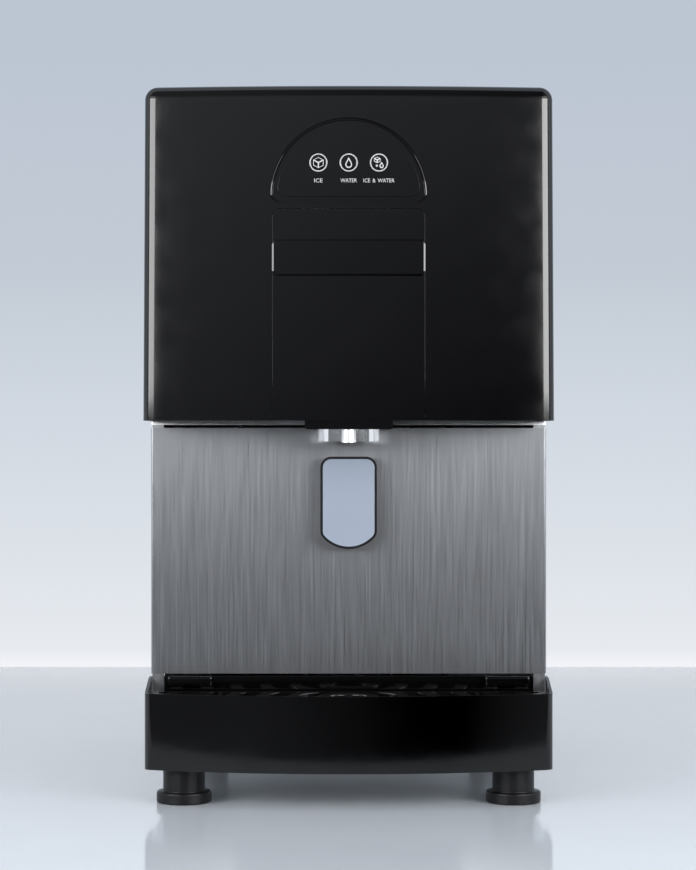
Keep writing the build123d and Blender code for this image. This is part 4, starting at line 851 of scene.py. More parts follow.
def bead(loops: list[tuple[list[Point], float]], bow: Bow) -> bmesh.types.BMesh:
    """A closed strip through outlines that have the same number of points, bent round a bow.

    Args:
        loops: each outline in X and Z, with its depth under the bow's outline.
        bow: the outline to follow.

    Returns:
        The bmesh.
    """
    bm = bmesh.new()
    rows = []
    for points, depth in loops:
        corners = [bm.verts.new((*bow.point(bow.along(x), depth), z)) for x, z in points]
        rows.append([bm.edges.new(pair) for pair in zip(corners, corners[1:] + corners[:1])])
    for first, second in zip(rows, rows[1:]):
        bmesh.ops.bridge_loops(bm, edges=first + second)
    return bm


@dataclass(frozen=True)
class Piece:
    """What a finished piece is called, rides on and stands for."""

    name: str
    body: str
    slot: str
    finish: str
    replaces: tuple[str, ...] = ()


class Workshop:
    """Turns bmeshes into finished pieces."""

    def __init__(self, finishes: FinishBook) -> None:
        """Keep the finishes to dress pieces with."""
        self.finishes = finishes

    def finish(self, bm: bmesh.types.BMesh, piece: Piece, sharp: float = 35.0,
               wall: float = 0.0, bevel: float = 0.0) -> None:
        """Make an object of a bmesh in millimetres, at the origin and in metres.

        Args:
            bm: the mesh, which is freed.
            piece: the piece's names.
            sharp: angle in degrees over which an edge stays sharp.
            wall: thickness that a Solidify modifier adds inwards, or 0.
            bevel: width of a Bevel modifier on the sharp edges, or 0.
        """
        bmesh.ops.remove_doubles(bm, verts=bm.verts[:], dist=MERGE_DISTANCE)
        bmesh.ops.recalc_face_normals(bm, faces=bm.faces[:])
        limit = math.radians(sharp)
        for face in bm.faces:
            face.smooth = True
        for edge in bm.edges:
            edge.smooth = len(edge.link_faces) != 2 or edge.calc_face_angle(0.0) < limit
        bm.transform(Matrix.Scale(MILLIMETRE, 4))
        mesh = bpy.data.meshes.new(piece.name)
        bm.to_mesh(mesh)
        bm.free()
        mesh.materials.append(self.finishes[piece.finish])
        made = bpy.data.objects.new(piece.name, mesh)
        bpy.context.scene.collection.objects.link(made)
        if wall:
            shell = made.modifiers.new("wall", "SOLIDIFY")
            shell.thickness = wall * MILLIMETRE
            shell.offset = -1.0
            shell.use_even_offset = True
        if bevel:
            round_off = made.modifiers.new("edges", "BEVEL")
            round_off.width = bevel * MILLIMETRE
            round_off.segments = 2
            round_off.limit_method = "ANGLE"
            round_off.angle_limit = math.radians(40.0)
            round_off.harden_normals = True
        evened = made.modifiers.new("shading", "WEIGHTED_NORMAL")
        evened.keep_sharp = True
        evened.weight = 100
        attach(made, piece.body)
        if piece.replaces:
            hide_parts(*piece.replaces)


def turned(profile: list[Point], centre: Point, axis: str, steps: int) -> bmesh.types.BMesh:
    """Turn a profile round an upright or a front-to-back axis into a closed mesh.

    Args:
        profile: points of radius and place along the axis, as an open run.
        centre: X and Y of an upright axis, or X and Z of one that runs along Y.
        axis: "Z" or "Y".
        steps: runs round the turn.

    Returns:
        The bmesh.
    """
    bm = bmesh.new()
    points = [bm.verts.new((radius, 0.0, place)) for radius, place in profile]
    edges = [bm.edges.new(pair) for pair in zip(points, points[1:])]
    bmesh.ops.spin(bm, geom=points + edges, cent=(0.0, 0.0, 0.0), axis=(0.0, 0.0, 1.0),
                   angle=2 * math.pi, steps=steps, use_merge=True)
    bmesh.ops.remove_doubles(bm, verts=bm.verts[:], dist=MERGE_DISTANCE)
    if axis == "Y":
        bmesh.ops.rotate(bm, verts=bm.verts[:], matrix=Matrix.Rotation(math.radians(-90), 3, "X"))
        move(bm, x=centre[0], z=centre[1])
    else:
        move(bm, x=centre[0], y=centre[1])
    bmesh.ops.recalc_face_normals(bm, faces=bm.faces[:])
    return bm


def join(whole: bmesh.types.BMesh, part: bmesh.types.BMesh) -> None:
    """Add one bmesh to another and free it.

    Args:
        whole: the mesh that grows.
        part: the mesh that goes into it.
    """
    mesh = bpy.data.meshes.new("part")
    part.to_mesh(mesh)
    part.free()
    whole.from_mesh(mesh)
    bpy.data.meshes.remove(mesh)


def lettering(word: str, centre: Point, width: float, height: float) -> bmesh.types.BMesh:
    """Flat letters in X and Z that face the front.

    Args:
        word: what they say.
        centre: X and Z of their middle.
        width: width of the whole word.
        height: height of its capitals.

    Returns:
        The bmesh.
    """
    curve = bpy.data.curves.new(word, "FONT")
    curve.body = word
    curve.space_word = 1.6
    curve.resolution_u = 4
    writer = bpy.data.objects.new(word, curve)
    mesh = bpy.data.meshes.new_from_object(writer)
    bm = bmesh.new()
    bm.from_mesh(mesh)
    bpy.data.objects.remove(writer)
    bpy.data.curves.remove(curve)
    bpy.data.meshes.remove(mesh)
    bmesh.ops.remove_doubles(bm, verts=bm.verts[:], dist=1e-5)
    xs = [vert.co.x for vert in bm.verts]
    ys = [vert.co.y for vert in bm.verts]
    for vert in bm.verts:
        across = (vert.co.x - min(xs)) / (max(xs) - min(xs)) - 0.5
        up = (vert.co.y - min(ys)) / (max(ys) - min(ys)) - 0.5
        vert.co = (centre[0] + across * width, 0.0, centre[1] + up * height)
    return bm


@dataclass
class FrontHood:
    """Glossy black shell over the front, its underside, centre panel and bare name plate."""

    workshop: Workshop
    bow_radius: float = 1700.0
    corner: float = 13.0
    top_edge: float = 13.0
    top_half_width: float = 205.6
    wall: float = 3.0
    wall_overlap: float = 0.1
    lip_round: float = 0.8
    bow_step: float = 9.0
    corner_steps: int = 12
    edge_steps: int = 10
    crest_tolerance: float = 1e-3
    fixed_front: float = 150.0
    seam: float = 0.4
    floor_gap: float = 0.3
    floor_lift: float = 0.2
    floor_step: float = 12.0
    floor_corner_steps: int = 6
    lip_half_width: float = 44.2
    centre_half_width: float = 76.4
    centre_drop: float = 124.5
    centre_corner: float = 8.0
    centre_depth: float = 1.5
    centre_round: float = 0.45
    bend_half: float = 72.0
    bend_step: float = 9.0
    dome_radius: float = 79.0
    dome_base_drop: float = 5.7
    dome_corner: float = 10.0
    dome_corner_steps: int = 10
    dome_steps: int = 64
    dome_centre_drop: float = 112.4
    plate_edge: float = 0.85
    plate_slope: float = 1.7
    plate_rise: float = 0.85
    plate_proud: float = 1.8
    plate_corner: float = 5.5
    plate_steps: int = 6
    front_normal: float = -0.9
    low: Vector = field(init=False)
    high: Vector = field(init=False)
    bow: Bow = field(init=False)

    def __post_init__(self) -> None:
        """Take the outer sizes from the CAD node."""
        self.low, self.high = node_box("front_hood")
        self.bow = Bow(self.high.x, self.low.y, self.high.y, self.bow_radius, self.corner)

    def dome_loop(self, radius: float, base_drop: float) -> list[Point]:
        """Arch over a flat base with rounded lower corners, in X and Z.

        Args:
            radius: radius of the arch.
            base_drop: how far the base lies under the arch's centre.

        Returns:
            The outline's points.
        """
        centre_z = self.high.z - self.dome_centre_drop
        rise = self.dome_corner - base_drop
        across = math.sqrt((radius - self.dome_corner) ** 2 - rise**2)
        turn = math.degrees(math.atan2(rise, across))
        base = centre_z - base_drop + self.dome_corner
        steps = self.dome_corner_steps
        right = arc_points((across, base), self.dome_corner, -90, turn, steps)
        arch = arc_points((0.0, centre_z), radius, turn, 180 - turn, self.dome_steps)
        left = arc_points((-across, base), self.dome_corner, 180 - turn, 270, steps)
        return right + arch[1:] + left[1:]

    def centre_loop(self, extra: float, low: float) -> list[Point]:
        """Outline of the centre panel, from its lower right corner.

        Args:
            extra: how much wider and higher than the panel.
            low: its lower edge.

        Returns:
            The outline's points.
        """
        top = self.high.z - self.centre_drop + extra
        return rounded_rectangle(self.centre_half_width + extra, low, top, 0.0,
                                 self.centre_corner + extra)

    def place(self, along: float, rise: float) -> Place:
        """Point of the hood's skin: up the drafted wall, then over its rounded top edge.

        Args:
            along: distance from the middle of the front at the hood's foot.
            rise: height up the wall, and on along the rounding.

        Returns:
            X, Y and Z.
        """
        wall_top = self.high.z - self.top_edge
        angle = max(0.0, (rise - wall_top) / self.top_edge)
        z = min(rise, wall_top) + self.top_edge * math.sin(angle)
        inset = self.top_edge * (1 - math.cos(angle))
        share = (z - self.low.z) / (self.high.z - self.low.z)
        half = self.high.x + (self.top_half_width - self.high.x) * share
        wall = Bow(half, self.low.y, self.high.y, self.bow_radius, self.corner)
        run = abs(along)
        if self.fixed_front < run <= self.bow.bow_length:
            scale = (wall.bow_length - self.fixed_front) / (self.bow.bow_length - self.fixed_front)
            run = self.fixed_front + (run - self.fixed_front) * scale
        elif run > self.bow.bow_length:
            past = run - self.bow.bow_length
            if past <= self.bow.corner_length:
                run = wall.bow_length + past / self.bow.corner_length * wall.corner_length
            else:
                side = self.bow.rear - self.bow.corner_centre_y
                run = (wall.bow_length + wall.corner_length + (past - self.bow.corner_length)
                       / side * (wall.rear - wall.corner_centre_y))
        x, y = wall.point(math.copysign(run, along), inset)
        return x, y, z

    def build_shell(self) -> None:
        """Build the outer skin with its two openings, bent from one flat sheet."""
        end = self.bow.length
        wall_top = self.high.z - self.top_edge
        crest = wall_top + self.top_edge * math.pi / 2
        opening = self.centre_loop(self.seam, self.low.z)
        outline = [(-end, self.low.z), *reversed(opening), (end, self.low.z), (end, crest),
                   (-end, crest)]
        dome = self.dome_loop(self.dome_radius, self.dome_base_drop)
        sheet = Sheet(outline, (dome,)).cut(self.bow.cuts(self.bow_step, self.corner_steps))
        rises = [wall_top + (crest - wall_top) * i / self.edge_steps for i in range(self.edge_steps)]
        bm = sheet.cut(rises, UPWARDS).bm
        rim = []
        for vert in bm.verts:
            along, rise = vert.co.x, vert.co.z
            if rise > crest - self.crest_tolerance:
                rim.append((along, vert))
            vert.co = self.place(along, rise)
        bmesh.ops.recalc_face_normals(bm, faces=bm.faces[:])
        bm.faces.new([vert for _, vert in sorted(rim, key=lambda pair: pair[0])])
        piece = Piece("hood_shell", Body.CABINET.value, "hood_black", "hood", ("front_hood",))
        self.workshop.finish(bm, piece, sharp=30.0, wall=self.wall, bevel=self.lip_round)

    def build_underside(self) -> None:
        """Build the floor under the hood, with the opening that the chute lip fills."""
        lip_low, lip_high = node_box("chute_lip")
        splash_low, _ = node_box("splash_panel")
        gap = self.floor_gap
        inner = Bow(self.high.x, self.low.y, splash_low.y - gap, self.bow_radius, self.corner)
        half = self.lip_half_width + gap
        hole = [(-half, lip_low.y - gap), (half, lip_low.y - gap),
                (half, lip_high.y + gap), (-half, lip_high.y + gap)]
        outline = inner.loop(self.wall - self.wall_overlap, self.floor_step, self.floor_corner_steps)
        floor = Sheet(outline, (hole,)).thicken(self.wall)
        lay_flat(floor.bm, self.low.z + self.floor_lift)
        piece = Piece("hood_underside", Body.CABINET.value, "hood_black", "hood")
        self.workshop.finish(floor.bm, piece)

    def build_centre(self) -> None:
        """Build the flush centre panel and the bare plate on it."""
        bends = strips(self.bend_half, self.bend_step)
        panel = Sheet(self.centre_loop(0.0, self.low.z)).thicken(self.centre_depth, self.centre_round)
        panel.cut(bends).wrap(self.bow)
        piece = Piece("centre_cover", Body.CABINET.value, "panel_black", "panel", ("centre_panel",))
        self.workshop.finish(panel.bm, piece)
        low, high = node_box("badge_plate")
        corner = self.plate_corner
        plate = Sheet(rounded_rectangle(high.x, low.z, high.z, corner, corner, self.plate_steps))
        plate.thicken(self.plate_edge)
        front = [face for face in plate.bm.faces if face.normal.y < self.front_normal]
        bmesh.ops.inset_region(plate.bm, faces=front, thickness=self.plate_slope,
                               depth=self.plate_rise, use_even_offset=True)
        plate.cut(bends).wrap(self.bow, self.plate_rise - self.plate_proud)
        piece = Piece("name_plate", Body.CABINET.value, "panel_black", "plate", ("badge_plate",))
        self.workshop.finish(plate.bm, piece, sharp=15.0)

    def build(self) -> None:
        """Build every piece of the hood."""
        self.build_shell()
        self.build_underside()
        self.build_centre()


@dataclass(frozen=True)
class Key:
    """One key's middle in X and Z, its CAD node and its body."""

    centre: Point
    node: str
    body: str


@dataclass(frozen=True)
class Mark:
    """One printed mark's offset from its key's middle, with its width and height."""

    offset: Point
    width: float
    height: float

    def centre(self, key: Key) -> Point:
        """X and Z of the mark's middle on a key."""
        return key.centre[0] + self.offset[0], key.centre[1] + self.offset[1]


@dataclass
class ControlArea:
    """Arched fascia with its sunk border, three light rings, three keys and their marks."""

    workshop: Workshop
    hood: FrontHood
    groove: float = 1.4
    seam: float = 0.1
    border_depth: float = 1.6
    bead_profile: tuple[Point, ...] = ((0.1, 1.4), (0.1, 0.75), (1.5, 0.1), (2.2, 0.1), (3.0, 1.45))
    bead_step: float = 8.0
    raised_radius: float = 72.0
    raised_sink: float = 0.1
    raised_round: float = 1.3
    raised_round_steps: int = 5
    bend_half: float = 72.0
    bend_step: float = 8.0
    ring_radius: float = 9.05
    ring_width: float = 1.15
    ring_gap: float = 0.1
    ring_round: float = 0.25
    ring_proud: float = 0.1
    ring_shoulder: float = 0.15
    ring_steps: int = 64
    flange_reach: float = 1.6
    flange_depth: float = 1.0
    key_gap: float = 0.1
    key_profile: tuple[Point, ...] = ((-0.6, 0.0), (-0.2, 0.15), (0.0, 0.5), (0.0, 5.5))
    key_steps: int = 48
    stem_radius: float = 2.0
    words: tuple[tuple[str, float], ...] = (("ICE", 8.4), ("WATER", 16.4), ("ICE & WATER", 31.0))
    word_drop: float = 17.9
    word_height: float = 3.9
    print_depth: float = 0.1
    line: float = 1.15
    cube: Mark = Mark((0.0, 0.0), 10.4, 11.0)
    small_cube: Mark = Mark((-1.7, 2.7), 6.6, 6.4)
    cube_lines: float = 2.2
    drop: Mark = Mark((0.0, 0.0), 6.8, 10.8)
    small_drop: Mark = Mark((2.6, -2.4), 4.4, 6.4)
    drop_sink: float = 0.45
    drop_side_lines: float = 1.8
    drop_end_lines: float = 3.0
    drop_steps: int = 28
    star: Mark = Mark((-2.1, -3.1), 3.0, 3.0)
    star_points: int = 6
    star_waist: float = 0.5

    def keys(self) -> list[Key]:
        """The three keys, with their places from the CAD model.

        Returns:
            The keys from left to right.
        """
        names = (("ice_button", Body.ICE_KEY), ("water_button", Body.WATER_KEY),
                 ("combined_button", Body.COMBINED_KEY))
        found = []
        for node, body in names:
            low, high = node_box(node)
            found.append(Key(((low.x + high.x) / 2, (low.z + high.z) / 2), node, body.value))
        return found

    def skin_y(self, x: float) -> float:
        """Y of the hood's skin at an offset."""
        return self.hood.bow.point(self.hood.bow.along(x), 0.0)[1]

    def build_fascia(self) -> None:
        """Build the sunk border and the raised plate, both with holes for the rings."""
        hood = self.hood
        holes = tuple(circle(key.centre, self.ring_radius + self.ring_gap) for key in self.keys())
        bends = strips(self.bend_half, self.bend_step)
        edge = hood.dome_loop(hood.dome_radius - self.seam, hood.dome_base_drop - self.seam)
        border = Sheet(edge, holes).thicken(self.border_depth).cut(bends).wrap(hood.bow, self.groove)
        piece = Piece("fascia_border", Body.CABINET.value, "panel_black", "panel")
        self.workshop.finish(border.bm, piece)
        self.build_bead()
        plate = Sheet(hood.dome_loop(self.raised_radius, 0.0), holes)
        plate.thicken(self.groove + self.raised_sink, self.raised_round, self.raised_round_steps)
        plate.cut(bends).wrap(hood.bow)
        piece = Piece("fascia_plate", Body.CABINET.value, "panel_black", "panel", ("control_fascia",))
        self.workshop.finish(plate.bm, piece)

    def build_bead(self) -> None:
        """Build the rounded bead that follows the hood's arched opening."""
        hood = self.hood
        outer = dense(hood.dome_loop(hood.dome_radius, hood.dome_base_drop), self.bead_step)
        top = max(z for _, z in outer)
        rows = []
        for reach, depth in self.bead_profile:
            share = 1 - reach / hood.dome_radius
            rows.append(([(x * share, top - reach - (top - z) * share) for x, z in outer], depth))
        piece = Piece("fascia_bead", Body.CABINET.value, "panel_black", "panel")
        self.workshop.finish(bead(rows, hood.bow), piece, sharp=15.0)

    def build_rings(self) -> None:
        """Build the three light rings."""
        _, high = node_box("button_light_rings")
        outer, inner = self.ring_radius, self.ring_radius - self.ring_width
        flange = outer + self.flange_reach
        seat = high.y - self.flange_depth
        whole = bmesh.new()
        for key in self.keys():
            front = self.skin_y(key.centre[0])
            crown, shoulder = front - self.ring_proud, front + self.ring_shoulder
            profile = [(inner, high.y), (inner, shoulder), (inner + self.ring_round, crown),
                       (outer - self.ring_round, crown), (outer, shoulder), (outer, seat),
                       (flange, seat), (flange, high.y), (inner, high.y)]
            join(whole, turned(profile, key.centre, "Y", self.ring_steps))
        piece = Piece("light_rings", Body.CABINET.value, "light_white", "light",
                      ("button_light_rings",))
        self.workshop.finish(whole, piece)

    def build_keys(self) -> None:
        """Build the key caps with their stems."""
        radius = self.ring_radius - self.ring_width - self.key_gap
        for key in self.keys():
            low, high = node_box(key.node)
            cap = [(radius + reach, low.y + depth) for reach, depth in self.key_profile]
            stem = [(self.stem_radius, cap[-1][1]), (self.stem_radius, high.y), (0.0, high.y)]
            profile = [(0.0, low.y), *cap, *stem]
            name = key.node.replace("button", "key_cap")
            piece = Piece(name, key.body, "button_black", "key", (key.node,))
            self.workshop.finish(turned(profile, key.centre, "Y", self.key_steps), piece, sharp=40.0)

    def cube_mark(self, key: Key, mark: Mark) -> Sheet:
        """Line drawing of an ice cube, seen over one corner.

        Args:
            key: the key that it is printed on.
            mark: its place and size.

        Returns:
            The flat sheet.
        """
        x, z = mark.centre(key)
        half, quarter = mark.height / 2, mark.height / 4
        left, right = x - mark.width / 2, x + mark.width / 2
        top, middle, foot = (x, z + half), (x, z), (x, z - half)
        left_top, left_foot = (left, z + quarter), (left, z - quarter)
        right_top, right_foot = (right, z + quarter), (right, z - quarter)
        sides = ((top, right_top, middle, left_top), (left_top, middle, foot, left_foot),
                 (middle, right_top, right_foot, foot))
        share = 1 - self.cube_lines * self.line / mark.height
        holes = []
        for side in sides:
            cx, cz = (sum(values) / len(side) for values in zip(*side))
            holes.append([(cx + (px - cx) * share, cz + (pz - cz) * share) for px, pz in side])
        return Sheet([top, right_top, right_foot, foot, left_foot, left_top], tuple(holes))

    def drop_loop(self, centre: Point, width: float, height: float) -> list[Point]:
        """Outline of a water drop with its tip up.

        Args:
            centre: X and Z of its middle.
            width: its width.
            height: its height.

        Returns:
            The outline's points.
        """
        radius = width / 2
        bowl = (centre[0], centre[1] - height / 2 + radius)
        turn = math.degrees(math.acos(radius / (height - radius)))
        return [(centre[0], centre[1] + height / 2),
                *arc_points(bowl, radius, 90 - turn, turn - 270, self.drop_steps)]

    def drop_mark(self, key: Key, mark: Mark) -> Sheet:
        """Line drawing of a water drop.

        Args:
            key: the key that it is printed on.
            mark: its place and size.

        Returns:
            The flat sheet.
        """
        x, z = mark.centre(key)
        hole = self.drop_loop((x, z - self.line * self.drop_sink),
                              mark.width - self.drop_side_lines * self.line,
                              mark.height - self.drop_end_lines * self.line)
        return Sheet(self.drop_loop((x, z), mark.width, mark.height), (hole,))

    def star_mark(self, key: Key, mark: Mark) -> Sheet:
        """Small frost star.

        Args:
            key: the key that it is printed on.
            mark: its place and size.

        Returns:
            The flat sheet.
        """
        x, z = mark.centre(key)
        outline = []
        for i in range(2 * self.star_points):
            reach = mark.width / 2 * (1.0 if i % 2 == 0 else self.star_waist)
            turn = i * math.pi / self.star_points
            outline.append((x + reach * math.sin(turn), z + reach * math.cos(turn)))
        return Sheet(outline)

    def build_marks(self) -> None:
        """Print the generic picture on each key: ice cube, water drop and both."""
        ice, water, both = self.keys()
        drawings = (
            (ice, (self.cube_mark(ice, self.cube),)),
            (water, (self.drop_mark(water, self.drop),)),
            (both, (self.cube_mark(both, self.small_cube), self.drop_mark(both, self.small_drop),
                    self.star_mark(both, self.star))),
        )
        for key, sheets in drawings:
            low, _ = node_box(key.node)
            whole = bmesh.new()
            for sheet in sheets:
                join(whole, sheet.thicken(2 * self.print_depth).bm)
            move(whole, y=low.y - self.print_depth)
            piece = Piece(key.node.replace("button", "key_mark"), key.body, "light_white", "print")
            self.workshop.finish(whole, piece)

    def build_words(self) -> None:
        """Print the generic words under the keys."""
        whole = bmesh.new()
        for key, (word, width) in zip(self.keys(), self.words):
            x, z = key.centre
            join(whole, lettering(word, (x, z - self.word_drop), width, self.word_height))
        extrude_back(whole, 2 * self.print_depth)
        wrap(whole, self.hood.bow, -self.print_depth)
        piece = Piece("key_words", Body.CABINET.value, "light_white", "print")
        self.workshop.finish(whole, piece)

    def build(self) -> None:
        """Build every piece of the control area."""
        self.build_fascia()
        self.build_rings()
        self.build_keys()
        self.build_marks()
        self.build_words()


@dataclass
class PushLever:
    """Black paddle with its pale pad."""

    workshop: Workshop
    margin: float = 1.9
    side_height: float = 80.0
    top_corner: float = 11.0
    top_corner_steps: int = 10
    foot_corner: float = 10.0
    foot_corner_steps: int = 6
    foot_step: float = 2.0
    skin: float = 0.15
    paddle_depth: float = 6.5
    paddle_round: float = 0.9
    pad_inset: float = 2.4
    pad_depth: float = 3.0
    pad_round: float = 1.6

    def outline(self, inset: float) -> list[Point]:
        """Paddle outline in X and Z, from the middle of its foot round to the right.

        Args:
            inset: distance inwards from the outline.

        Returns:
            The outline's points.
        """
        low, high = node_box("lever_pad")
        top = high.z + self.margin
        base = low.z - self.margin
        sag = top - base - self.side_height
        half = high.x + self.margin
        bowl = Bow(half, base, top, (half**2 + sag**2) / (2 * sag), self.foot_corner)
        foot = [bowl.point(place, inset) for place in bowl.cuts(self.foot_step, self.foot_corner_steps)]
        across, rise = half - self.top_corner, top - self.top_corner
        corner, steps = self.top_corner - inset, self.top_corner_steps
        right = arc_points((across, rise), corner, 0, 90, steps)
        left = arc_points((-across, rise), corner, 90, 180, steps)
        return foot + right + left

    def build(self) -> None:
        """Build the skin over the paddle and the pad on it."""
        body_low, _ = node_box("lever_body")
        pad_low, _ = node_box("lever_pad")
        paddle = Sheet(self.outline(-self.skin))
        paddle.thicken(self.paddle_depth + 2 * self.skin, self.paddle_round, segments=4)
        move(paddle.bm, y=body_low.y - self.skin)
        piece = Piece("paddle", Body.LEVER.value, "lever_black", "lever_body")
        self.workshop.finish(paddle.bm, piece, sharp=40.0)
        pad = Sheet(self.outline(self.pad_inset)).thicken(self.pad_depth, self.pad_round, segments=6)
        move(pad.bm, y=pad_low.y)
        piece = Piece("paddle_pad", Body.LEVER.value, "lever_pale", "lever_pad", ("lever_pad",))
        self.workshop.finish(pad.bm, piece, sharp=40.0)


@dataclass
class DripTray:
    """Glossy black bowed housing that holds the drip pan and its grille."""

    workshop: Workshop
    bow_radius: float = 690.0
    bow_step: float = 9.0
    corner: float = 11.0
    corner_steps: int = 12
    wall: float = 3.0
    rim_height: float = 77.5
    rim_rise: float = 10.4
    rim_round: float = 1.0
    floor_height: float = 29.5
    floor_step: float = 12.0
    floor_corner_steps: int = 6
    floor_overlap: float = 0.1
    drain_setback: float = 31.0
    drain_radius: float = 8.3
    inner_half_width: float = 191.2
    rear_gap: float = 0.1
    rear_depth: float = 3.1
    block_front: float = 12.1
    block_rear: float = 3.0
    block_round: float = 0.8
    ledge_top_drop: float = 19.0
    ledge_height: float = 4.0
    lug_span: Point = (141.0, 187.0)
    lug_height: float = 10.5
    lug_round: float = 2.4
    block_round_steps: int = 4
    boss_across: float = 120.0
    boss_setback: float = 40.0
    boss_radius: float = 7.0
    boss_foot: float = 39.5
    boss_steps: int = 32

    def build(self) -> None:
        """Build the housing's wall, floor, rear wall and locating blocks."""
        low, high = node_box("tray_housing")
        splash_low, _ = node_box("splash_panel")
        bow = Bow(high.x, low.y, high.y, self.bow_radius, self.corner)
        rim = low.z + self.rim_height
        raised = rim + self.rim_rise
        end = bow.length
        ramp_start = bow.bow_length + bow.corner_length
        ramp_end = ramp_start + (splash_low.y - bow.corner_centre_y)
        sheet = Sheet([(-end, low.z), (end, low.z), (end, raised), (ramp_end, raised),
                       (ramp_start, rim), (-ramp_start, rim), (-ramp_end, raised), (-end, raised)])
        sheet.cut(bow.cuts(self.bow_step, self.corner_steps))
        for vert in sheet.bm.verts:
            x, y = bow.point(vert.co.x, 0.0)
            vert.co = (x, y, vert.co.z)
        piece = Piece("tray_wall", Body.CABINET.value, "tray_black", "tray", ("tray_housing",))
        self.workshop.finish(sheet.bm, piece, sharp=30.0, wall=self.wall, bevel=self.rim_round)
        self.build_inside(low, high, splash_low.y)

    def build_inside(self, low: Vector, high: Vector, rear: float) -> None:
        """Build the housing's floor, rear wall, ledge, locating blocks and screw bosses.

        Args:
            low: the housing's lowest corner.
            high: its highest corner.
            rear: Y of the splash panel's face.
        """
        inner = Bow(high.x, low.y, rear - self.rear_gap, self.bow_radius, self.corner)
        outline = inner.loop(self.wall - self.floor_overlap, self.floor_step, self.floor_corner_steps)
        drain = circle((0.0, rear - self.drain_setback), self.drain_radius)
        bm = Sheet(outline, (drain,)).thicken(self.wall).bm
        floor = low.z + self.floor_height - self.wall
        lay_flat(bm, floor)
        half = self.inner_half_width
        ledge = high.z - self.ledge_top_drop
        front, back = rear - self.block_front, rear - self.block_rear
        self.add_block(bm, (-half, rear - self.rear_depth, floor), (half, rear - self.rear_gap, high.z),
                       self.block_round)
        self.add_block(bm, (-half, front, ledge - self.ledge_height), (half, back, ledge),
                       self.block_round)
        for side in (-1, 1):
            left, right = sorted(side * place for place in self.lug_span)
            self.add_block(bm, (left, front, high.z - self.lug_height), (right, back, high.z),
                           self.lug_round)
        for side in (-1, 1):
            post = bmesh.ops.create_cone(bm, cap_ends=True, segments=self.boss_steps,
                                         radius1=self.boss_radius, radius2=self.boss_radius,
                                         depth=floor - self.boss_foot)
            middle = (side * self.boss_across, low.y + self.boss_setback, (floor + self.boss_foot) / 2)
            bmesh.ops.translate(bm, verts=post["verts"], vec=middle)
        piece = Piece("tray_inside", Body.CABINET.value, "tray_black", "tray")
        self.workshop.finish(bm, piece)

    def add_block(self, bm: bmesh.types.BMesh, low: Place, high: Place, edge: float) -> None:
        """Add a block with rounded edges.

        Args:
            bm: the mesh to add to.
            low: the block's lowest corner.
            high: its highest corner.
            edge: radius of its edges.
        """
        made = bmesh.ops.create_cube(bm, size=1.0)
        size = [b - a for a, b in zip(low, high)]
        middle = [(a + b) / 2 for a, b in zip(low, high)]
        bmesh.ops.scale(bm, verts=made["verts"], vec=size)
        bmesh.ops.translate(bm, verts=made["verts"], vec=middle)
        corners = set(made["verts"])
        edges = [edge for edge in bm.edges if edge.verts[0] in corners]
        bmesh.ops.bevel(bm, geom=edges, offset=edge, segments=self.block_round_steps, profile=0.5,
                        affect="EDGES", material=-1, clamp_overlap=True)


@dataclass
class Feet:
    """Four round levelling feet, each with its threaded stem."""

    workshop: Workshop
    profile: tuple[Point, ...] = (
        (0.0, 0.0), (26.4, 0.0), (27.6, 0.5), (28.2, 1.6), (28.2, 9.6), (27.7, 10.9), (26.6, 11.5),
        (22.6, 11.5), (21.8, 11.9), (21.5, 12.8), (21.5, 36.5), (9.0, 36.5), (9.0, 37.9), (5.0, 37.9))
    stem_radius: float = 5.0
    steps: int = 72

    def build(self) -> None:
        """Build each foot as a turned piece."""
        for body in FEET:
            end, side = body.value.split("_")[:2]
            node = f"foot_{end}_{side}"
            low, high = node_box(node)
            centre = ((low.x + high.x) / 2, (low.y + high.y) / 2)
            profile = [*self.profile, (self.stem_radius, high.z), (0.0, high.z)]
            piece = Piece(f"levelling_{node}", body.value, "foot_black", "foot", (node,))
            self.workshop.finish(turned(profile, centre, "Z", self.steps), piece, sharp=32.0)


@dataclass
class CarriedNodes:
    """CAD nodes whose shape is right as it is, each with its finish."""

    workshop: Workshop
    finishes: dict[str, str] = field(default_factory=lambda: {
        "chute_lip": "panel", "ice_chute": "spout", "water_nozzle": "nozzle",
        "splash_panel": "splash", "splash_rail": "rail",
        "left_side_panel": "cabinet", "right_side_panel": "cabinet", "rear_panel": "cabinet",
        "top_cover": "cover", "base_pan": "zinc", "drip_pan": "pan", "drip_grille": "grille",
        "lever_body": "lever_body", "lever_bracket": "zinc", "lever_pin": "screw",
        "lever_switch": "fan", "lever_spring": "screw", "control_board": "board",
        "gate_housing": "duct", "gate_flap": "duct", "gate_actuator": "fan", "bin_deck": "zinc",
        "bin_shelf": "zinc",
        "ice_bin": "bin", "bin_lid": "bin", "agitator": "screw", "agitator_motor": "motor",
        "evaporator": "foam", "auger": "screw", "auger_motor": "motor", "drive_stand": "zinc",
        "ice_transfer_tube": "duct", "compressor": "shell", "condenser_coil": "fin",
        "fan_shroud": "zinc", "fan_blade": "fan", "fan_motor": "motor", "water_reservoir": "bin",
        "float_arm": "duct", "inlet_valve": "duct", "water_hoses": "hose",
        "refrigerant_lines": "copper", "drain_pipe": "duct", "power_inlet": "fan",
        "power_supply": "zinc", "cabinet_screws": "screw",
    })

    def build(self) -> None:
        """Give each carried node its material."""
        for node, key in self.finishes.items():
            materials = frame["nodes"][node].data.materials
            materials.clear()
            materials.append(self.workshop.finishes[key])


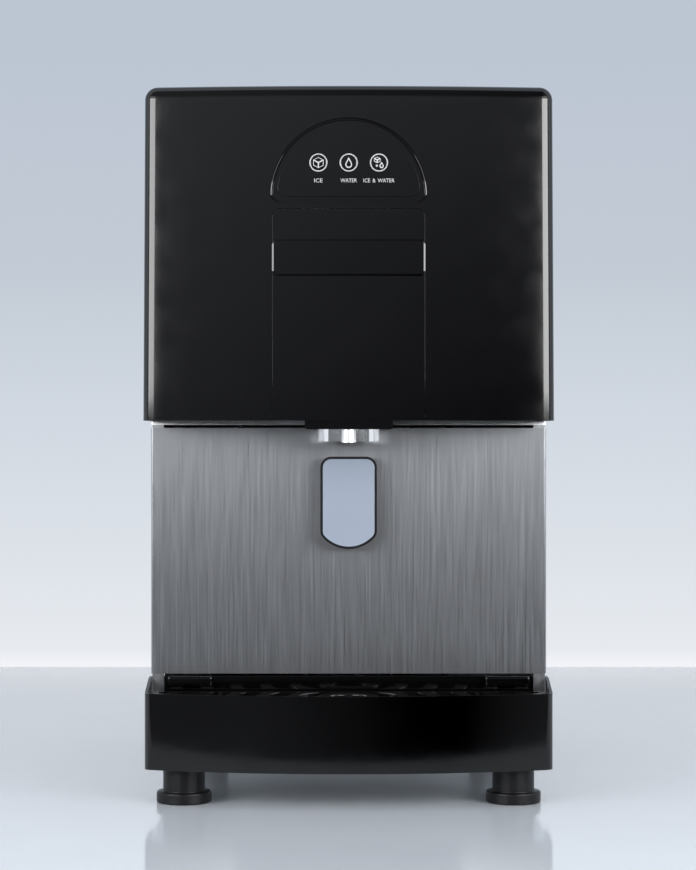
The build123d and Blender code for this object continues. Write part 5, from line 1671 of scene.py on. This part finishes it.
@dataclass(frozen=True)
class SoftBox:
    """Rectangular soft light that faces a point, in metres and watts."""

    name: str
    place: Place
    target: Place
    size: Point
    power: float
    shows_in_gloss: bool = True

    def build(self) -> None:
        """Stand the lamp in its place and turn it to its target."""
        data = bpy.data.lights.new(self.name, "AREA")
        data.shape = "RECTANGLE"
        data.size, data.size_y = self.size
        data.energy = self.power
        lamp = bpy.data.objects.new(self.name, data)
        bpy.context.scene.collection.objects.link(lamp)
        lamp.location = self.place
        aim = Vector(self.target) - Vector(self.place)
        lamp.rotation_euler = aim.to_track_quat("-Z", "Y").to_euler()
        lamp.visible_glossy = self.shows_in_gloss


@dataclass
class Studio:
    """Pale floor and backdrop, soft lights and the camera at the photograph's angle.

    The camera's place is in millimetres, and the room is in metres.
    """

    camera_place: Place = (-0.7, -2593.2, 376.0)
    lens: float = 95.17
    sensor: float = 36.0
    floor_reach: float = 5.0
    wall_reach: float = 6.0
    wall_y: float = 1.135
    table_front: float = -0.63
    floor_tones: tuple[Colour, Colour] = ((0.45, 0.48, 0.523), (0.47, 0.504, 0.547))
    # Height up the backdrop, in metres, and its colour there.
    paper: tuple[tuple[float, Colour], ...] = (
        (0.0, (0.9, 0.91, 0.95)), (0.03, (0.8, 0.83, 0.87)), (0.15, (0.74, 0.775, 0.825)),
        (0.43, (0.63, 0.68, 0.75)), (0.66, (0.54, 0.59, 0.665)), (1.0, (0.505, 0.565, 0.65)))
    # Name, side and power of the soft boxes beside the object.
    sides: tuple[tuple[str, int, float], ...] = (("left_box", -1, 34.5), ("right_box", 1, 42.0))
    # What goes before a box's name, its height, how tall it is and its part of the power.
    rows: tuple[tuple[str, float, float, float], ...] = (
        ("", 0.77, 0.67, 1.0), ("upper_", 1.42, 0.62, 6.0))
    box_across: float = 1.43
    box_front: float = -1.54
    box_aim: float = -0.29
    box_width: float = 1.7
    top_box: SoftBox = SoftBox("top_box", place=(0.0, -0.5, 2.3), target=(0.0, -0.25, 0.4),
                               size=(2.4, 1.6), power=18.0, shows_in_gloss=False)
    front_fill: SoftBox = SoftBox("front_fill", place=(0.0, -2.4, 1.9), target=(0.0, -0.35, 0.0),
                                  size=(2.2, 1.2), power=20.0, shows_in_gloss=False)
    sky_colour: Colour = (0.9, 0.94, 1.0)
    seen_sky_colour: Colour = (0.58, 0.64, 0.72)
    # Axis, start and end along it, and the room light's strength before and after them.
    sky_runs: tuple[tuple[str, float, float, float, float], ...] = (
        ("Z", -0.02, 0.16, 0.04, 0.44), ("Z", 0.2, 0.5, 0.0, -0.3), ("Y", -0.16, -0.1, 0.0, 0.8),
        ("X", -0.3, 0.3, 0.13, -0.13), ("X", 0.35, 0.6, 0.0, 0.24))

    def build_camera(self) -> None:
        """Place the level camera."""
        data = bpy.data.cameras.new("camera")
        data.lens = self.lens
        data.sensor_width = self.sensor
        data.clip_end = 50.0
        camera = bpy.data.objects.new("camera", data)
        bpy.context.scene.collection.objects.link(camera)
        camera.location = Vector(self.camera_place) * MILLIMETRE
        camera.rotation_euler = (math.radians(90), 0.0, 0.0)
        bpy.context.scene.camera = camera

    def backdrop_material(self) -> bpy.types.Material:
        """Pale blue-grey paper, lighter towards the floor and clear from behind.

        Returns:
            The material.
        """
        graph = NodeGraph("backdrop_paper")
        where = graph.add("ShaderNodeTexCoord")
        split = graph.feed(graph.add("ShaderNodeSeparateXYZ"), Vector=where.outputs["Object"])
        height = graph.spread(split.outputs["Z"], low=0.0, high=1.0, start=0.0, end=1.0)
        ramp = graph.feed(graph.add("ShaderNodeValToRGB"), Fac=height)
        elements = ramp.color_ramp.elements
        while len(elements) < len(self.paper):
            elements.new(0.5)
        for element, (place, colour) in zip(elements, self.paper):
            element.position = place
            element.color = (*colour, 1.0)
        paper = ramp.outputs["Color"]
        graph.feed(graph.shader, Base_Color=paper, Roughness=0.9)
        glow = graph.feed(graph.add("ShaderNodeEmission"), Color=paper)
        rays = graph.add("ShaderNodeLightPath")
        seen = graph.add("ShaderNodeMath", operation="MAXIMUM")
        graph.links.new(rays.outputs["Is Camera Ray"], seen.inputs[0])
        graph.links.new(rays.outputs["Is Glossy Ray"], seen.inputs[1])
        front = self.mix_shaders(graph, seen.outputs[0], graph.shader.outputs["BSDF"],
                                 glow.outputs["Emission"])
        turned_away = graph.add("ShaderNodeNewGeometry").outputs["Backfacing"]
        clear = graph.add("ShaderNodeBsdfTransparent").outputs["BSDF"]
        both = self.mix_shaders(graph, turned_away, front, clear)
        graph.links.new(both, graph.nodes["Material Output"].inputs["Surface"])
        return graph.material

    def mix_shaders(self, graph: NodeGraph, share: bpy.types.NodeSocket, first: bpy.types.NodeSocket,
                    second: bpy.types.NodeSocket) -> bpy.types.NodeSocket:
        """Mix two shaders by a value.

        Args:
            graph: the material that they are in.
            share: share of the second shader.
            first: shader where the share is 0.
            second: shader where the share is 1.

        Returns:
            The shader socket.
        """
        node = graph.feed(graph.add("ShaderNodeMixShader"), Fac=share)
        graph.links.new(first, node.inputs[1])
        graph.links.new(second, node.inputs[2])
        return node.outputs["Shader"]

    def floor_material(self) -> bpy.types.Material:
        """Pale satin table top that keeps the shadow.

        Returns:
            The material.
        """
        graph = NodeGraph("table_top")
        cloud = graph.noise(graph.place(), scale=12.0, detail=4.0)
        colour = graph.blend(cloud, *self.floor_tones)
        graph.feed(graph.shader, Base_Color=colour, Roughness=0.09, IOR=1.75)
        return graph.material

    def stage(self, name: str, bm: bmesh.types.BMesh, material: bpy.types.Material) -> None:
        """Make a piece of the room, which isn't part of the object.

        Args:
            name: the piece's name.
            bm: its mesh in metres, which is freed.
            material: its finish.
        """
        mesh = bpy.data.meshes.new(name)
        bm.to_mesh(mesh)
        bm.free()
        mesh.materials.append(material)
        made = bpy.data.objects.new(name, mesh)
        bpy.context.scene.collection.objects.link(made)

    def build_room(self) -> None:
        """Lay the floor and stand the backdrop behind it."""
        bm = bmesh.new()
        bmesh.ops.create_grid(bm, x_segments=2, y_segments=2, size=1.0)
        depth = (self.wall_y - self.table_front) / 2
        bmesh.ops.scale(bm, verts=bm.verts[:], vec=(self.floor_reach, depth, 1.0))
        move(bm, y=(self.wall_y + self.table_front) / 2)
        self.stage("floor", bm, self.floor_material())
        bm = bmesh.new()
        bmesh.ops.create_grid(bm, x_segments=2, y_segments=2, size=self.wall_reach)
        bmesh.ops.rotate(bm, verts=bm.verts[:], matrix=Matrix.Rotation(math.radians(90), 3, "X"))
        move(bm, y=self.wall_y)
        self.stage("backdrop", bm, self.backdrop_material())

    def build_lights(self) -> None:
        """Stand the soft boxes beside, over and in front of the object."""
        for name, side, power in self.sides:
            for prefix, height, tall, part in self.rows:
                SoftBox(prefix + name, (side * self.box_across, self.box_front, height),
                        (0.0, self.box_aim, height), (self.box_width, tall), power / part).build()
        self.top_box.build()
        self.front_fill.build()

    def build_world(self) -> None:
        """Light the room dimly in front of the object and more at its sides."""
        world = bpy.data.worlds.new("room")
        world.use_nodes = True
        nodes, links = world.node_tree.nodes, world.node_tree.links
        where = nodes.new("ShaderNodeTexCoord")
        split = nodes.new("ShaderNodeSeparateXYZ")
        links.new(where.outputs["Generated"], split.inputs["Vector"])
        total = None
        for axis, start, end, low, high in self.sky_runs:
            run = nodes.new("ShaderNodeMapRange")
            limits = {"From Min": start, "From Max": end, "To Min": low, "To Max": high}
            for name, value in limits.items():
                run.inputs[name].default_value = value
            links.new(split.outputs[axis], run.inputs["Value"])
            if total is None:
                total = run.outputs["Result"]
                continue
            both = nodes.new("ShaderNodeMath")
            links.new(total, both.inputs[0])
            links.new(run.outputs["Result"], both.inputs[1])
            total = both.outputs[0]
        sky = nodes["Background"]
        sky.inputs["Color"].default_value = (*self.sky_colour, 1.0)
        links.new(total, sky.inputs["Strength"])
        pale = nodes.new("ShaderNodeBackground")
        pale.inputs["Color"].default_value = (*self.seen_sky_colour, 1.0)
        seen = nodes.new("ShaderNodeLightPath")
        mix = nodes.new("ShaderNodeMixShader")
        links.new(seen.outputs["Is Camera Ray"], mix.inputs["Fac"])
        links.new(sky.outputs["Background"], mix.inputs[1])
        links.new(pale.outputs["Background"], mix.inputs[2])
        links.new(mix.outputs["Shader"], nodes["World Output"].inputs["Surface"])
        bpy.context.scene.world = world
        bpy.context.scene.view_settings.view_transform = "Standard"

    def build(self) -> None:
        """Build the whole studio."""
        self.build_camera()
        self.build_room()
        self.build_lights()
        self.build_world()


def main() -> None:
    """Build the dispenser's looks in order and report each part."""
    logging.basicConfig(level=logging.INFO, format="%(name)s: %(message)s")
    workshop = Workshop(FinishBook())
    hood = FrontHood(workshop)
    parts = (Studio(), CarriedNodes(workshop), hood, ControlArea(workshop, hood),
             PushLever(workshop), DripTray(workshop), Feet(workshop))
    for part in parts:
        before = set(bpy.data.objects)
        part.build()
        names = sorted(o.name for o in set(bpy.data.objects) - before)
        log.info("%s: %s", type(part).__name__, ", ".join(names) or "finishes only")


if __name__ == "__main__":
    main()
